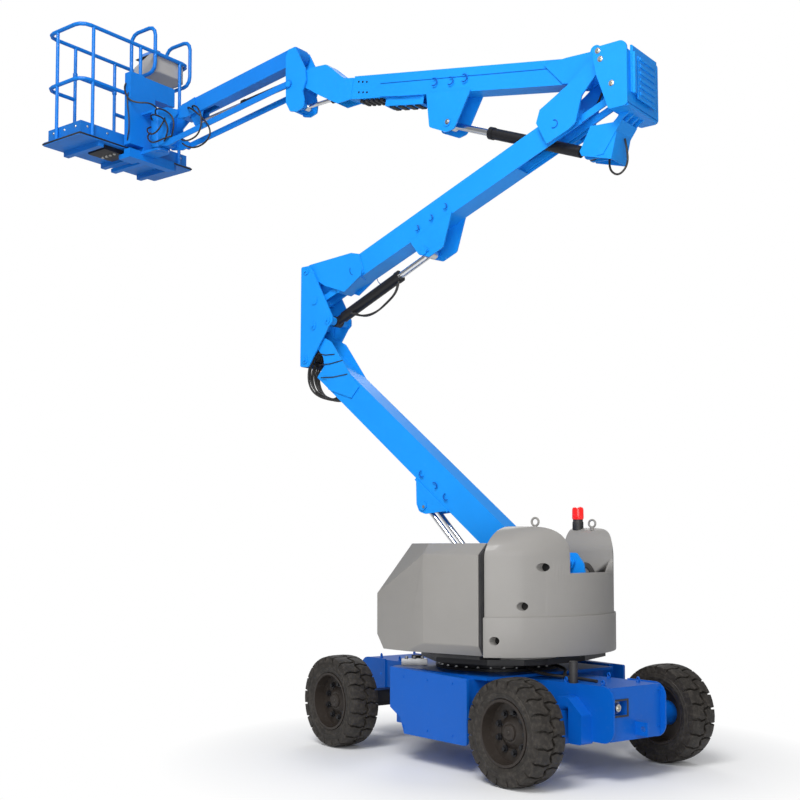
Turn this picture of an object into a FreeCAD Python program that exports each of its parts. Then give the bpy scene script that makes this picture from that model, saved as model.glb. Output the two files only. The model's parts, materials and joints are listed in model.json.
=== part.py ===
import FreeCAD, Part
import math
import os

# Articulating boom lift with a zero tail swing turret, a two arm riser with level links,
# a telescoping boom and a jib. Origin on the ground under the slew axis, +X over the fixed axle,
# +Y toward the left side, +Z up, all lengths in millimetres.
# Everything above the slew ring is drawn with the boom plane on y = 0 and turned by TURRET_YAW.

V = FreeCAD.Vector
os.makedirs("parts", exist_ok=True)

# Driving sizes of the wheels
WHEELBASE = 2030.0
WIDTH_OVER_TYRES = 1755.0
TYRE_R = 357.0
TYRE_WIDTH = 245.0
LUG_DEPTH = 19.0
LUGS_PER_ROW = 20
RIM_R = 222.0
DISH = 20.0

# Driving sizes of the chassis
DECK_Z = 665.0
BEAM_HALF = 250.0
BEAM_OVERHANG = 395.0
BEAM_Z0 = 285.0
END_PLATE = 12.0
SKIRT_Y = 800.0
SKIRT_Z0 = 208.0
KINGPIN_Y = 545.0
KINGPIN_R = 22.0
TIE_Z = 360.0
TIE_R = 19.0
STEER_ARM = 130.0
ROD_R = 20.0
RUN_GAP = 0.05
SEAT_GAP = 0.3

# Driving sizes of the turret
TURRET_YAW = 15.0
RING_R = 430.0
RING_TOP = 745.0
TURRET_PLATE = 40.0
TAIL_R = 900.0
TURRET_HALF = 830.0
SLOT_HALF = 318.0
HOOD_X0 = -385.0
HOOD_X1 = 517.0
HOOD_CREASE_X = 94.0
HOOD_NOSE_Y = 412.0
HOOD_Z0 = 813.0
HOOD_TOP = 1600.0
HOOD_SHOULDER = 1500.0
HOOD_SKIN = 8.0
HINGE_X = (-330.0, -150.0)
HINGE_R = 4.0
CW_X = -405.0
CW_Z0 = 805.0
CW_LEDGE = 1085.0
CW_TOP = 1720.0
CW_WALL_TOP = 1385.0
CW_HOLE_R = 30.0
LIFT_EYE = (-600.0, 420.0, 1752.0)
LIFT_EYE_R = 20.0

# Driving sizes of the riser arms, as x, z in the boom plane; offsets start at the pin they name
ARM_LENGTH = 3118.0
LOWER_ANGLE = 40.4
UPPER_ANGLE = -21.96
ROOT_PIN = (-585.0, 1457.0)
LINK_OFFSET = (92.0, -286.0)
MID_STEP = (84.0, 492.0)
UPPER_LINK_OFFSET = (-98.0, -275.0)
ARM_HALF = 90.0
WALL = 8.0
CHEEK = 12.0
PIN_R = 25.0
LINK_PIN_R = 18.0
SMALL_PIN_R = 12.0
CYL_PIN_R = 20.0
NECK = 88.0
LOWER_CYL_BASE = (-300.0, 880.0)
LOWER_CYL_EYE = (1214.0, -451.0)
LOWER_CYL_Y = 55.0
UPPER_CYL_FOOT = (-160.4, 33.1)
UPPER_CYL_EYE = (1959.0, -479.0)
HOUSE_HALF = 250.0

# Driving sizes of the boom and jib
BOOM_ANGLE = 10.3
BOOM_FRONT = 2430.0
BOOM_HALF = 80.0
BOOM_N0 = -175.0
BOOM_N1 = 20.0
BOOM_CYL_FOOT = (167.4, -657.9)
BOOM_CYL_EYE = (1360.0, -416.0)
NOSE_PIN = (3034.0, 43.0)
JIB_STEP = (139.0, 248.3)
JIB_LINK_STEP = (161.0, -20.7)
JIB_CYL_STEP = (161.0, 39.3)
SLAVE_STEP = (34.0, -234.7)
SLAVE_BACK = 750.0
JIB_ANGLE = -7.03
JIB_LENGTH = 1544.0
JIB_CYL_EYE = (1300.0, -150.0)
ROTATOR_REACH = 319.6
ROTATOR_R = 95.0
SHAFT_R = 45.0

# Driving sizes of the platform
PLATFORM_REACH = 570.0
PLATFORM_Y = 50.0
PLATFORM_LONG = 1385.0
PLATFORM_SHORT = 550.0
FLOOR_DROP = 230.0
RAIL_HEIGHT = 1080.0
RAIL_R = 19.0
POST_R = 17.0
RAIL_BEND = 110.0


def box(x0, x1, y0, y1, z0, z1):
    return Part.makeBox(x1 - x0, y1 - y0, z1 - z0, V(x0, y0, z0))


def mirror(shape):
    return shape.mirror(V(0, 0, 0), V(0, 1, 0))


def fuse(shapes):
    return shapes[0].multiFuse(shapes[1:]).removeSplitter()


def face(points, spot):
    """Closed outline of a, b pairs, each with an optional corner radius; spot makes a, b a vector."""
    edges = []
    corners = [V(p[0], p[1], 0) for p in points]
    radii = [p[2] if len(p) > 2 else 0 for p in points]
    legs = []
    for i, corner in enumerate(corners):
        back = (corners[i - 1] - corner).normalize()
        ahead = (corners[(i + 1) % len(corners)] - corner).normalize()
        half = back.getAngle(ahead) / 2
        reach = radii[i] / math.tan(half)
        middle = corner + (back + ahead).normalize() * (radii[i] / math.sin(half) - radii[i])
        legs.append((corner + back * reach, middle, corner + ahead * reach))
    for i, (start, middle, end) in enumerate(legs):
        if radii[i] > 0:
            edges.append(Part.Arc(spot(start.x, start.y), spot(middle.x, middle.y),
                                  spot(end.x, end.y)).toShape())
        following = legs[(i + 1) % len(legs)][0]
        edges.append(Part.makeLine(spot(end.x, end.y), spot(following.x, following.y)))
    return Part.Face(Part.Wire(edges))


def side(points, y0, y1):
    """Outline in x, z drawn out from y0 to y1."""
    return face(points, lambda a, b: V(a, y0, b)).extrude(V(0, y1 - y0, 0))


def plan(points, z0, z1):
    """Outline in x, y drawn out from z0 to z1."""
    return face(points, lambda a, b: V(a, b, z0)).extrude(V(0, 0, z1 - z0))


def cross(points, x0, x1):
    """Outline in y, z drawn out from x0 to x1."""
    return face(points, lambda a, b: V(x0, a, b)).extrude(V(x1 - x0, 0, 0))


def bar(a, b, radius):
    a = V(*a)
    run = V(*b) - a
    return Part.makeCylinder(radius, run.Length, a, run)


def pin(at, radius, y0, y1):
    return Part.makeCylinder(radius, y1 - y0, V(at[0], y0, at[1]), V(0, 1, 0))


def post(x, y, radius, z0, z1):
    return Part.makeCylinder(radius, z1 - z0, V(x, y, z0))


def tube(points, radius, bend):
    """Round tube along the points, each inner corner bent in three straight steps."""
    path = [V(*points[0])]
    for i in range(1, len(points) - 1):
        corner = V(*points[i])
        came = (corner - V(*points[i - 1])).normalize()
        goes = (V(*points[i + 1]) - corner).normalize()
        turn = came.getAngle(goes)
        first = corner - came * bend * math.tan(turn / 2)
        out = (goes - came * came.dot(goes)).normalize()
        for step in range(4):
            angle = turn * step / 3
            path.append(first + came * bend * math.sin(angle) + out * bend * (1 - math.cos(angle)))
    path.append(V(*points[-1]))
    section = Part.Wire(Part.makeCircle(radius, path[0], path[1] - path[0]))
    return Part.makePolygon(path).makePipeShell([section], True, False, 1)


def both(points, y0, y1):
    """The same plate on the left and on the right of the boom plane."""
    plate = side(points, y0, y1)
    return [plate, mirror(plate)]


def both_pins(at, radius, y0, y1):
    stub = pin(at, radius, y0, y1)
    return [stub, mirror(stub)]


def place(origin, angle, points):
    """Points along and above a line through origin, as x, z in the boom plane."""
    c = math.cos(math.radians(angle))
    s = math.sin(math.radians(angle))
    return [(origin[0] + p[0] * c - p[1] * s, origin[1] + p[0] * s + p[1] * c, *p[2:]) for p in points]


def shifted(point, step):
    return (point[0] + step[0], point[1] + step[1])


def around(origin, points):
    """Points given as steps from origin."""
    return [(origin[0] + p[0], origin[1] + p[1], *p[2:]) for p in points]


def export(name, shape, yaw=0.0):
    body = shape.copy()
    body.rotate(V(0, 0, 0), V(0, 0, 1), yaw)
    body.exportStep("parts/" + name + ".step")


def export_turret(name, shape):
    export(name, shape, TURRET_YAW)


def revolved(profile):
    """Profile of y, radius pairs turned round the y axis."""
    return face(profile, lambda a, b: V(0, a, b)).revolve(V(0, 0, 0), V(0, 1, 0), 360)


# Wheels: carcass with flat facets under three staggered rings of lugs, dished rim
half_tyre = TYRE_WIDTH / 2
wheel_y = WIDTH_OVER_TYRES / 2 - half_tyre
carcass_r = TYRE_R - LUG_DEPTH
tyre_sides = LUGS_PER_ROW
pitch = 360.0 / LUGS_PER_ROW


def ring_points(pairs, y):
    """Corners in the plane y from pairs of turn in degrees from straight down, radius."""
    return [V(r * math.sin(math.radians(a)), y, -r * math.cos(math.radians(a))) for a, r in pairs]


def even_ring(radius, y):
    """Corners of an even polygon whose flats lie at radius."""
    corner_r = radius / math.cos(math.pi / tyre_sides)
    return ring_points([(i * 360.0 / tyre_sides, corner_r) for i in range(tyre_sides)], y)


def flat_sided(rings):
    """Solid of flat facets through a closed loop of rings with equal counts of corners."""
    facets = []
    for first, second in zip(rings, rings[1:] + rings[:1]):
        for i in range(len(first)):
            j = (i + 1) % len(first)
            facets.append(Part.Face(Part.makePolygon([first[i], first[j], second[j], second[i], first[i]])))
    return Part.Solid(Part.makeShell(facets))


def lug_ring(y0, y1, turn, valley_r):
    """Disc with lugs round it, from y0 to y1, its first lug turned from straight down."""
    pairs = []
    for i in range(LUGS_PER_ROW):
        a = turn + i * pitch
        pairs += [(a, TYRE_R), (a + 0.72 * pitch, TYRE_R), (a + 0.86 * pitch, valley_r)]
    corners = ring_points(pairs, y0)
    return Part.Face(Part.makePolygon(corners + corners[:1])).extrude(V(0, y1 - y0, 0))


tread_y = half_tyre - 5
carcass = [(-tread_y, carcass_r - 40), (tread_y, carcass_r - 40), (half_tyre, RIM_R + 45),
           (half_tyre - 18, RIM_R), (-half_tyre + 18, RIM_R), (-half_tyre, RIM_R + 45)]
tyre = flat_sided([even_ring(r, y) for y, r in carcass])
# Columns: from y, to y, turn as a share of the pitch, radius between the lugs
lug_rings = []
for y0, y1, share, valley_r in ((-tread_y, -34, 0.0, carcass_r - 36), (-34, 34, 0.25, carcass_r),
                                (34, tread_y, 0.5, carcass_r - 36)):
    lug_rings.append(lug_ring(y0, y1, share * pitch, valley_r))
bore = even_ring(RIM_R, -half_tyre)
bore_cut = Part.Face(Part.makePolygon(bore + bore[:1])).extrude(V(0, TYRE_WIDTH, 0))
tyre = fuse([tyre] + lug_rings).cut(bore_cut)

rim = revolved([(-half_tyre + 20, RIM_R - SEAT_GAP), (half_tyre - 8, RIM_R - SEAT_GAP),
                (half_tyre - 8, RIM_R - 18),
                (DISH + 14, RIM_R - 26), (DISH + 4, 112), (DISH + 32, 70), (DISH + 32, 0.0), (DISH - 12, 0.0),
                (DISH - 12, RIM_R - 30), (-half_tyre + 20, RIM_R - 14)])


def wheel_at(shape, x, left):
    one = shape.copy()
    if not left:
        one = mirror(one)
    one.translate(V(x, wheel_y if left else -wheel_y, TYRE_R))
    return one


for name, x, left in (("front_left", WHEELBASE / 2, True), ("front_right", WHEELBASE / 2, False),
                      ("rear_left", -WHEELBASE / 2, True), ("rear_right", -WHEELBASE / 2, False)):
    export("tyre_" + name, wheel_at(tyre, x, left))
    export("rim_" + name, wheel_at(rim, x, left))

# Chassis frame: centre beam, end boxes between rounded side plates, cross deck
axle_x = WHEELBASE / 2
beam_end = axle_x + BEAM_OVERHANG
tie_x = beam_end + 50
beam_z1 = DECK_Z - 25
frame = [box(-beam_end + 60, beam_end - 60, -BEAM_HALF, BEAM_HALF, BEAM_Z0 + 90, beam_z1)]
end_plate = side([(beam_end - 320, BEAM_Z0 - 12), (beam_end + 20, BEAM_Z0 - 12, 95),
                  (beam_end + 20, beam_z1 + 8, 95),
                  (beam_end - 320, beam_z1 + 8)], BEAM_HALF, BEAM_HALF + END_PLATE)
for sign in (1, -1):
    x0, x1 = sorted((sign * (beam_end - 320), sign * (beam_end - 20)))
    frame.append(box(x0, x1, -BEAM_HALF, BEAM_HALF, BEAM_Z0, beam_z1))
    plate = end_plate if sign > 0 else end_plate.mirror(V(0, 0, 0), V(1, 0, 0))
    frame += [plate, mirror(plate)]
stop_face = [(-axle_x + 5, 560), (-axle_x - 90, 560, 20), (-axle_x - 215, 455, 20), (-axle_x - 215, 255, 20),
             (-axle_x - 95, 255, 20), (-axle_x - 95, 500, 20), (-axle_x + 5, 500)]
steer_stop = side(stop_face, BEAM_HALF, BEAM_HALF + 110)
frame += [steer_stop, mirror(steer_stop)]
frame.append(box(-470, 300, -SKIRT_Y + 60, SKIRT_Y - 60, SKIRT_Z0 + 60, DECK_Z - 20))
frame.append(box(-600, 480, -640, 640, DECK_Z - 20, DECK_Z))
frame.append(box(300, 480, -560, 560, 380, DECK_Z - 20))
chassis = fuse(frame)
chassis = chassis.cut(box(-560, 560, -BEAM_HALF + 10, BEAM_HALF - 10, SKIRT_Z0, BEAM_Z0 + 60))
ties = []
for sign in (1, -1):
    x0, x1 = sorted((sign * (beam_end - 30), sign * (tie_x + 38)))
    ties.append(box(x0, x1, -10, 10, TIE_Z - 45, TIE_Z + 45).cut(pin((sign * tie_x, TIE_Z), TIE_R, -20, 20)))
    socket = (sign * (beam_end - 20), 0, 455)
    chassis = chassis.cut(box(socket[0] - 60, socket[0] + 60, 90, 230, socket[2], socket[2] + 95))
export("chassis_frame", fuse([chassis] + ties))

skirt_face = [(-575, SKIRT_Z0, 30), (130, SKIRT_Z0), (180, 320), (303, 385), (303, DECK_Z + 18, 12),
              (-575, DECK_Z + 2, 12)]
skirt = side(skirt_face, SKIRT_Y - 60, SKIRT_Y)
skirt = skirt.cut(box(-700, -470, SKIRT_Y - 80, SKIRT_Y - 20, 0, 900))
export("chassis_side_boxes", Part.makeCompound([skirt, mirror(skirt)]))

ring = post(0, 0, RING_R, DECK_Z, RING_TOP - SEAT_GAP)
export("slew_ring", ring)

# Fixed axle with a drive motor in each rim
motor_y = wheel_y + DISH - 12 - SEAT_GAP
hubs = [box(axle_x - 60, axle_x + 60, -motor_y + 130, motor_y - 130, TYRE_R - 65, TYRE_R + 60)]
for sign in (1, -1):
    hubs.append(bar((axle_x, sign * (motor_y - 130), TYRE_R), (axle_x, sign * motor_y, TYRE_R), 105))
    hubs.append(bar((axle_x, sign * (motor_y - 260), TYRE_R), (axle_x, sign * (motor_y - 120), TYRE_R), 82))
axle = fuse(hubs).cut(box(axle_x - 200, axle_x + 200, -BEAM_HALF, BEAM_HALF, BEAM_Z0 + 90, DECK_Z))
export("fixed_axle", axle)

# Steered axle, its kingpins and the cylinder between the steering arms
steer_x = -axle_x
post_z0 = TYRE_R - 82
post_z1 = TYRE_R + 78
rod_z = TYRE_R - 20
rod_x = steer_x + STEER_ARM
beam = [box(steer_x - 40, steer_x + 40, -KINGPIN_Y + 75, KINGPIN_Y - 75, TYRE_R - 115, TYRE_R + 110)]
for sign in (1, -1):
    for z0, z1 in ((post_z0 - 33, post_z0 - 5), (post_z1 + 5, post_z1 + 32)):
        y0, y1 = sorted((sign * (KINGPIN_Y - 120), sign * (KINGPIN_Y + 28)))
        beam.append(box(steer_x - 50, steer_x + 50, y0, y1, z0, z1))
    beam.append(post(steer_x, sign * KINGPIN_Y, KINGPIN_R, post_z0 - 30, post_z1 + 30))
beam.append(bar((rod_x, -215, rod_z), (rod_x, 215, rod_z), 38))
beam.append(box(steer_x + 30, rod_x, -200, 200, rod_z - 30, rod_z + 30))
axle = fuse(beam)
axle = axle.cut(bar((rod_x, -300, rod_z), (rod_x, 300, rod_z), ROD_R + RUN_GAP))
axle = axle.cut(box(steer_x - 60, steer_x + 400, -BEAM_HALF, BEAM_HALF, BEAM_Z0 + 90, DECK_Z))
export("steered_axle", axle)

rod_end = KINGPIN_Y - 85
steer_rod = [bar((rod_x, -rod_end + 30, rod_z), (rod_x, rod_end - 30, rod_z), ROD_R)]
for sign in (1, -1):
    steer_rod.append(post(rod_x, sign * rod_end, 32, rod_z - 18, rod_z + 18))
export("steer_rod", fuse(steer_rod))

arm_plan = [(steer_x + 20, KINGPIN_Y + 46), (rod_x - 26, rod_end + 20), (rod_x - 20, rod_end - 22),
            (rod_x + 24, rod_end - 18), (rod_x + 26, rod_end + 26), (steer_x + 58, KINGPIN_Y + 60)]
knuckle = [post(steer_x, KINGPIN_Y, 46, post_z0, post_z1),
           box(steer_x - 60, steer_x + 60, KINGPIN_Y + 30, KINGPIN_Y + 70, post_z0 + 10, post_z1 - 10),
           bar((steer_x, KINGPIN_Y + 64, TYRE_R), (steer_x, motor_y, TYRE_R), 92),
           plan(arm_plan, post_z0 + 4, post_z0 + 30)]
knuckle = fuse(knuckle).cut(post(steer_x, KINGPIN_Y, KINGPIN_R + RUN_GAP, post_z0 - 60, post_z1 + 60))
export("knuckle_left", knuckle)
export("knuckle_right", mirror(knuckle))

# Turret frame: plate on the ring, slot walls, root plates of the riser
plate_z1 = RING_TOP + TURRET_PLATE
plate_y = TURRET_HALF - 110
plate_right = [(HOOD_X1 - 60, 0), (HOOD_X1 - 60, HOOD_NOSE_Y - 50), (HOOD_CREASE_X - 40, plate_y),
               (HOOD_X0, plate_y),
               (-600, 580), (-700, 430), (-760, 0)]
plate = plan(plate_right, RING_TOP, plate_z1)
turret = [plate, mirror(plate)]
wall_top = HOOD_TOP - 25
wall_face = [(CW_X + 12, plate_z1), (400, plate_z1), (HOOD_X1 - 27, 940), (HOOD_X1 - 27, 1200), (92, 1460),
             (-80, wall_top), (CW_X + 12, wall_top)]
turret += both(wall_face, SLOT_HALF, SLOT_HALF + 12)
hinge_y = SLOT_HALF + 8
hinge_z = HOOD_TOP - 8
for x in HINGE_X:
    ear = [(x - 30, wall_top - 5), (x, wall_top - 5), (x, HOOD_TOP), (x - 30, HOOD_TOP)]
    turret += both(ear, SLOT_HALF, SLOT_HALF + 16)
    hinge = bar((x - 30, hinge_y, hinge_z), (x + 45, hinge_y, hinge_z), HINGE_R)
    turret += [hinge, mirror(hinge)]
root_face = [(-715, plate_z1), (-190, plate_z1), (-250, 950), (-390, 1180), (-500, 1500, 40),
             (-545, 1530, 30),
             (-630, 1530, 30), (-690, 1450), (-715, 1300)]
root_out = ARM_HALF + 23
turret += both(root_face, root_out, root_out + 18)
link_root = shifted(ROOT_PIN, LINK_OFFSET)
for at, boss_r, pin_r in ((ROOT_PIN, 42, PIN_R), (link_root, 36, LINK_PIN_R),
                          (LOWER_CYL_BASE, 34, CYL_PIN_R)):
    turret += both_pins(at, boss_r, root_out + 18, root_out + 34)
    turret.append(pin(at, pin_r, -root_out - 18, root_out + 18))
turret.append(box(-700, -200, -250, 250, plate_z1, CW_Z0))
export_turret("turret_frame", fuse(turret))

block_y = TURRET_HALF - 60
battery = plan([(HOOD_X0 + 30, 380), (HOOD_X1 - 120, 380), (HOOD_X1 - 120, HOOD_NOSE_Y + 15),
                (HOOD_CREASE_X - 50, block_y),
                (HOOD_X0 + 30, block_y)], plate_z1 + SEAT_GAP, 1180)
export_turret("batteries", Part.makeCompound([battery, mirror(battery)]))

# Counterweight with an arched lobe either side of the slot
lobe_face = [(SLOT_HALF, CW_Z0), (TURRET_HALF, CW_Z0, 35), (TURRET_HALF, CW_TOP, 200), (SLOT_HALF, CW_TOP, 90)]
lobe = cross(lobe_face, -TAIL_R, CW_X)
rear = box(-TAIL_R, -TAIL_R + 165, -SLOT_HALF, SLOT_HALF, CW_Z0, CW_WALL_TOP)
round_tail = post(0, 0, TAIL_R - 14, CW_Z0, CW_TOP)
band = post(0, 0, TAIL_R, CW_Z0, CW_LEDGE)
weight = fuse([lobe, mirror(lobe), rear]).common(fuse([round_tail, band]))
for hole_x, hole_y, hole_z in ((-719, 518, 1431), (-620, 633, 1160), (-474, 748, 922)):
    hole = pin((hole_x, hole_z), CW_HOLE_R, hole_y - 70, TURRET_HALF + 20)
    weight = weight.cut(hole).cut(mirror(hole))
feet = plan([(-690, SLOT_HALF - 25), (-690, 400), (-590, 560), (CW_X - 40, 640), (CW_X - 40, SLOT_HALF - 25)],
            plate_z1, CW_Z0)
post_x, post_y, eye_z = LIFT_EYE
eye = fuse([pin((post_x, eye_z), 36, post_y - 8, post_y + 8),
            post(post_x, post_y, 15, CW_TOP - 5, eye_z - 25)])
eye = eye.cut(pin((post_x, eye_z), LIFT_EYE_R, post_y - 20, post_y + 20))
weight = fuse([weight, feet, mirror(feet), eye, mirror(eye)])
export_turret("counterweight", weight)


# Hoods, hinged along their inner top edges
def hood_shape(t):
    """Closed hood, drawn in by t on every face but the inner one."""
    outer = TURRET_HALF - t
    top = HOOD_TOP - t
    shell = cross([(SLOT_HALF + 20, HOOD_Z0), (outer - 45, HOOD_Z0), (outer, HOOD_Z0 + 62),
                   (outer, HOOD_SHOULDER),
                   (outer - 110, top), (SLOT_HALF + 20, top)], HOOD_X0 + t, HOOD_X1 - t)
    trim = side([(HOOD_X0, HOOD_Z0), (430, HOOD_Z0), (HOOD_X1 - t, 930), (HOOD_X1 - t, 1227 - t, 60),
                 (105 - 0.5 * t, 1490 - t, 60), (-67 - 0.5 * t, top), (HOOD_X0, top)], 0, outer)
    nose = plan([(HOOD_X0, 0), (HOOD_X1 - t, 0), (HOOD_X1 - t, HOOD_NOSE_Y - 0.4 * t),
                 (HOOD_CREASE_X - 0.4 * t, outer),
                 (HOOD_X0, outer)], HOOD_Z0, HOOD_TOP)
    return shell.common(trim).common(nose)


hood = hood_shape(0).cut(hood_shape(HOOD_SKIN))
for x in HINGE_X:
    tube_ring = fuse([hood, box(x + 3, x + 40, hinge_y, SLOT_HALF + 24, hinge_z - 7, hinge_z + 7),
                      bar((x + 3, hinge_y, hinge_z), (x + 40, hinge_y, hinge_z), 8)])
    hood = tube_ring.cut(bar((x, hinge_y, hinge_z), (x + 50, hinge_y, hinge_z), HINGE_R + RUN_GAP))
export_turret("hood_left", hood)
export_turret("hood_right", mirror(hood))


# Cylinders: barrel with its base eye, rod with its end eye
def cylinder_parts(base, eye, barrel_r, rod_r, barrel_length, eye_r, half_width, pin_r=CYL_PIN_R, y_mid=0.0,
                   overlap=160.0):
    run = math.hypot(eye[0] - base[0], eye[1] - base[1])
    angle = math.degrees(math.atan2(eye[1] - base[1], eye[0] - base[0]))

    def at(u):
        x, z = place(base, angle, [(u, 0)])[0]
        return (x, y_mid, z)

    barrel = fuse([bar(at(NECK), at(barrel_length), barrel_r),
                   bar(at(barrel_length - 40), at(barrel_length), barrel_r + 5),
                   bar(at(0), at(NECK + 10), half_width - 2),
                   pin(base, eye_r, y_mid - half_width, y_mid + half_width)])
    barrel = barrel.cut(bar(at(NECK + 30), at(barrel_length + 5), rod_r + RUN_GAP))
    barrel = barrel.cut(pin(base, pin_r + RUN_GAP, y_mid - half_width, y_mid + half_width))
    rod = fuse([bar(at(barrel_length - overlap), at(run - eye_r * 0.6), rod_r),
                pin(eye, eye_r, y_mid - half_width, y_mid + half_width)])
    rod = rod.cut(pin(eye, pin_r + RUN_GAP, y_mid - half_width, y_mid + half_width))
    return barrel, rod


# Lower arm in line with its pins, root pin to riser pin
lower_pin = place(ROOT_PIN, LOWER_ANGLE, [(ARM_LENGTH, 0)])[0]
mid_top = shifted(lower_pin, MID_STEP)
knuckle_pin = place(mid_top, UPPER_ANGLE, [(-ARM_LENGTH, 0)])[0]


def on_lower(points):
    return place(ROOT_PIN, LOWER_ANGLE, points)


def box_arm(on_line, u0, u1, n0, n1):
    """Box section arm, open at both ends."""
    outer = side(on_line([(u0, n0), (u1, n0), (u1, n1), (u0, n1)]), -ARM_HALF, ARM_HALF)
    inner = side(on_line([(u0 - 10, n0 + WALL), (u1 + 10, n0 + WALL), (u1 + 10, n1 - WALL),
                          (u0 - 10, n1 - WALL)]),
                 -ARM_HALF + WALL, ARM_HALF - WALL)
    return outer.cut(inner)


cheek_out = ARM_HALF + CHEEK
lower_arm = [box_arm(on_lower, 250, ARM_LENGTH - 298, -330, -90)]
root_cheek = [(-45, -20, 20), (-25, 38, 20), (25, 48, 20), (330, -88), (430, -95), (430, -325), (330, -333),
              (240, -333),
              (150, -200), (70, -90), (-10, -48)]
lower_arm += both(on_lower(root_cheek), ARM_HALF, cheek_out)
tip_cheek = [(-740, -112), (-640, -101), (-233, 0, 60), (-68, -34), (-33, 30, 20), (0, 45, 20), (45, 0, 20),
             (22, -50),
             (-58, -120), (-245, -150), (-478, -331), (-731, -235)]
lower_arm += both(on_lower(around((ARM_LENGTH, 0), tip_cheek)), ARM_HALF, cheek_out)
eye_x, eye_n = LOWER_CYL_EYE
lower_bracket = [(eye_x - 215, -325), (eye_x - 60, eye_n - 35, 20), (eye_x, eye_n - 60, 40),
                 (eye_x + 60, eye_n - 30, 20),
                 (eye_x + 200, -325)]
lower_arm += both(on_lower(lower_bracket), ARM_HALF, cheek_out)
lower_arm += [side(on_lower([(eye_x - 215, -325), (eye_x + 200, -325), (eye_x + 200, -345),
                             (eye_x - 215, -345)]),
                   -cheek_out, cheek_out)]
lower_arm += both_pins(on_lower([LOWER_CYL_EYE])[0], 36, cheek_out, cheek_out + 10)
lower_arm = fuse(lower_arm)
for at in (ROOT_PIN, lower_pin):
    lower_arm = lower_arm.cut(pin(at, PIN_R + RUN_GAP, -200, 200))
export_turret("lower_arm", lower_arm)


def link_between(a, b, half_height, eye_r, y0, y1, bore_r):
    angle = math.degrees(math.atan2(b[1] - a[1], b[0] - a[0]))
    run = math.hypot(b[0] - a[0], b[1] - a[1])
    flat = side(place(a, angle, [(0, -half_height), (run, -half_height), (run, half_height),
                                 (0, half_height)]), y0, y1)
    link = fuse([flat, pin(a, eye_r, y0, y1), pin(b, eye_r, y0, y1)])
    return link.cut(pin(a, bore_r + RUN_GAP, y0, y1)).cut(pin(b, bore_r + RUN_GAP, y0, y1))


link_tip = shifted(lower_pin, LINK_OFFSET)
export_turret("lower_link", link_between(link_root, link_tip, 16, 31, -22, 22, LINK_PIN_R))

barrel, rod = cylinder_parts(LOWER_CYL_BASE, on_lower([LOWER_CYL_EYE])[0], 33, 20, 780, 38, 28, CYL_PIN_R,
                             LOWER_CYL_Y)
export_turret("lower_lift_barrels", Part.makeCompound([barrel, mirror(barrel)]))
export_turret("lower_lift_rods", Part.makeCompound([rod, mirror(rod)]))

# Mid pivot between the two arms
mid_in = ARM_HALF + 28
mid_face = [(143, 532, 15), (46, 532, 30), (11, 482), (-216, 62, 20), (-216, 12, 20), (-179, -18),
            (56, -352, 20),
            (150, -343, 15)]
mid = both(around(lower_pin, mid_face), mid_in, mid_in + CHEEK)
mid.append(side(around(lower_pin, [(139, -343), (150, -343), (150, 522), (139, 522)]), -mid_in, mid_in))
upper_link_pin = shifted(mid_top, UPPER_LINK_OFFSET)
upper_cyl_base = shifted(lower_pin, UPPER_CYL_FOOT)
for at, pin_r in ((lower_pin, PIN_R), (mid_top, PIN_R), (link_tip, LINK_PIN_R), (upper_link_pin, LINK_PIN_R),
                  (upper_cyl_base, CYL_PIN_R)):
    mid.append(pin(at, pin_r, -mid_in - CHEEK, mid_in + CHEEK))
    mid += both_pins(at, 34, mid_in + CHEEK, mid_in + CHEEK + 8)
mid += both_pins(upper_cyl_base, 36, 44, mid_in)
export_turret("mid_pivot", fuse(mid))


# Upper arm in line with its pins, boom pin to riser pin
def on_upper(points):
    return place(knuckle_pin, UPPER_ANGLE, points)


upper_arm = box_arm(on_upper, 350, ARM_LENGTH - 218, -336, -145)
for u1, n0, n1 in ((1500, -200, -100), (960, -380, -300)):
    slot = side(on_upper([(300, n0), (u1, n0), (u1, n1), (300, n1)]), -ARM_HALF + WALL, ARM_HALF - WALL)
    upper_arm = upper_arm.cut(slot)
upper_arm = [upper_arm]
fork_in = ARM_HALF + 40
fork = [(-28, 30, 20), (20, 45), (330, -36), (593, -68), (658, -145), (640, -340), (440, -346), (370, -330),
        (251, -174),
        (98, -105), (-20, -45, 15)]
upper_arm += both(on_upper(fork), fork_in, fork_in + 15)
upper_arm += both(on_upper([(480, -330), (640, -330), (650, -150), (480, -150)]), ARM_HALF, fork_in)
tail_cheek = [(-39, 45), (-484, -97), (-557, -150), (-547, -321), (-291, -368), (-122, -213), (-8, -60),
              (45, 0, 20),
              (12, 45, 20)]
upper_arm += both(on_upper(around((ARM_LENGTH, 0), tail_cheek)), ARM_HALF, cheek_out)
upper_eye = on_upper([UPPER_CYL_EYE])[0]
upper_bracket = [(96, 149), (57, -4, 30), (-24, -70, 30), (-175, -68, 30), (-354, 149)]
upper_arm += both(on_upper(around(UPPER_CYL_EYE, upper_bracket)), ARM_HALF, cheek_out)
upper_arm += both_pins(upper_eye, 34, cheek_out, cheek_out + 10)
upper_arm += both_pins(upper_eye, CYL_PIN_R, 46, ARM_HALF)
upper_arm = fuse(upper_arm)
for at in (knuckle_pin, mid_top):
    upper_arm = upper_arm.cut(pin(at, PIN_R + RUN_GAP, -200, 200))
export_turret("upper_arm", upper_arm)

link_head = shifted(knuckle_pin, UPPER_LINK_OFFSET)
flat = link_between(link_head, upper_link_pin, 26, 30, 56, 70, LINK_PIN_R)
export_turret("upper_link", Part.makeCompound([flat, mirror(flat)]))

barrel, rod = cylinder_parts(upper_cyl_base, upper_eye, 46, 28, 760, 44, 40)
export_turret("upper_lift_barrel", barrel)
export_turret("upper_lift_rod", rod)

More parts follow.
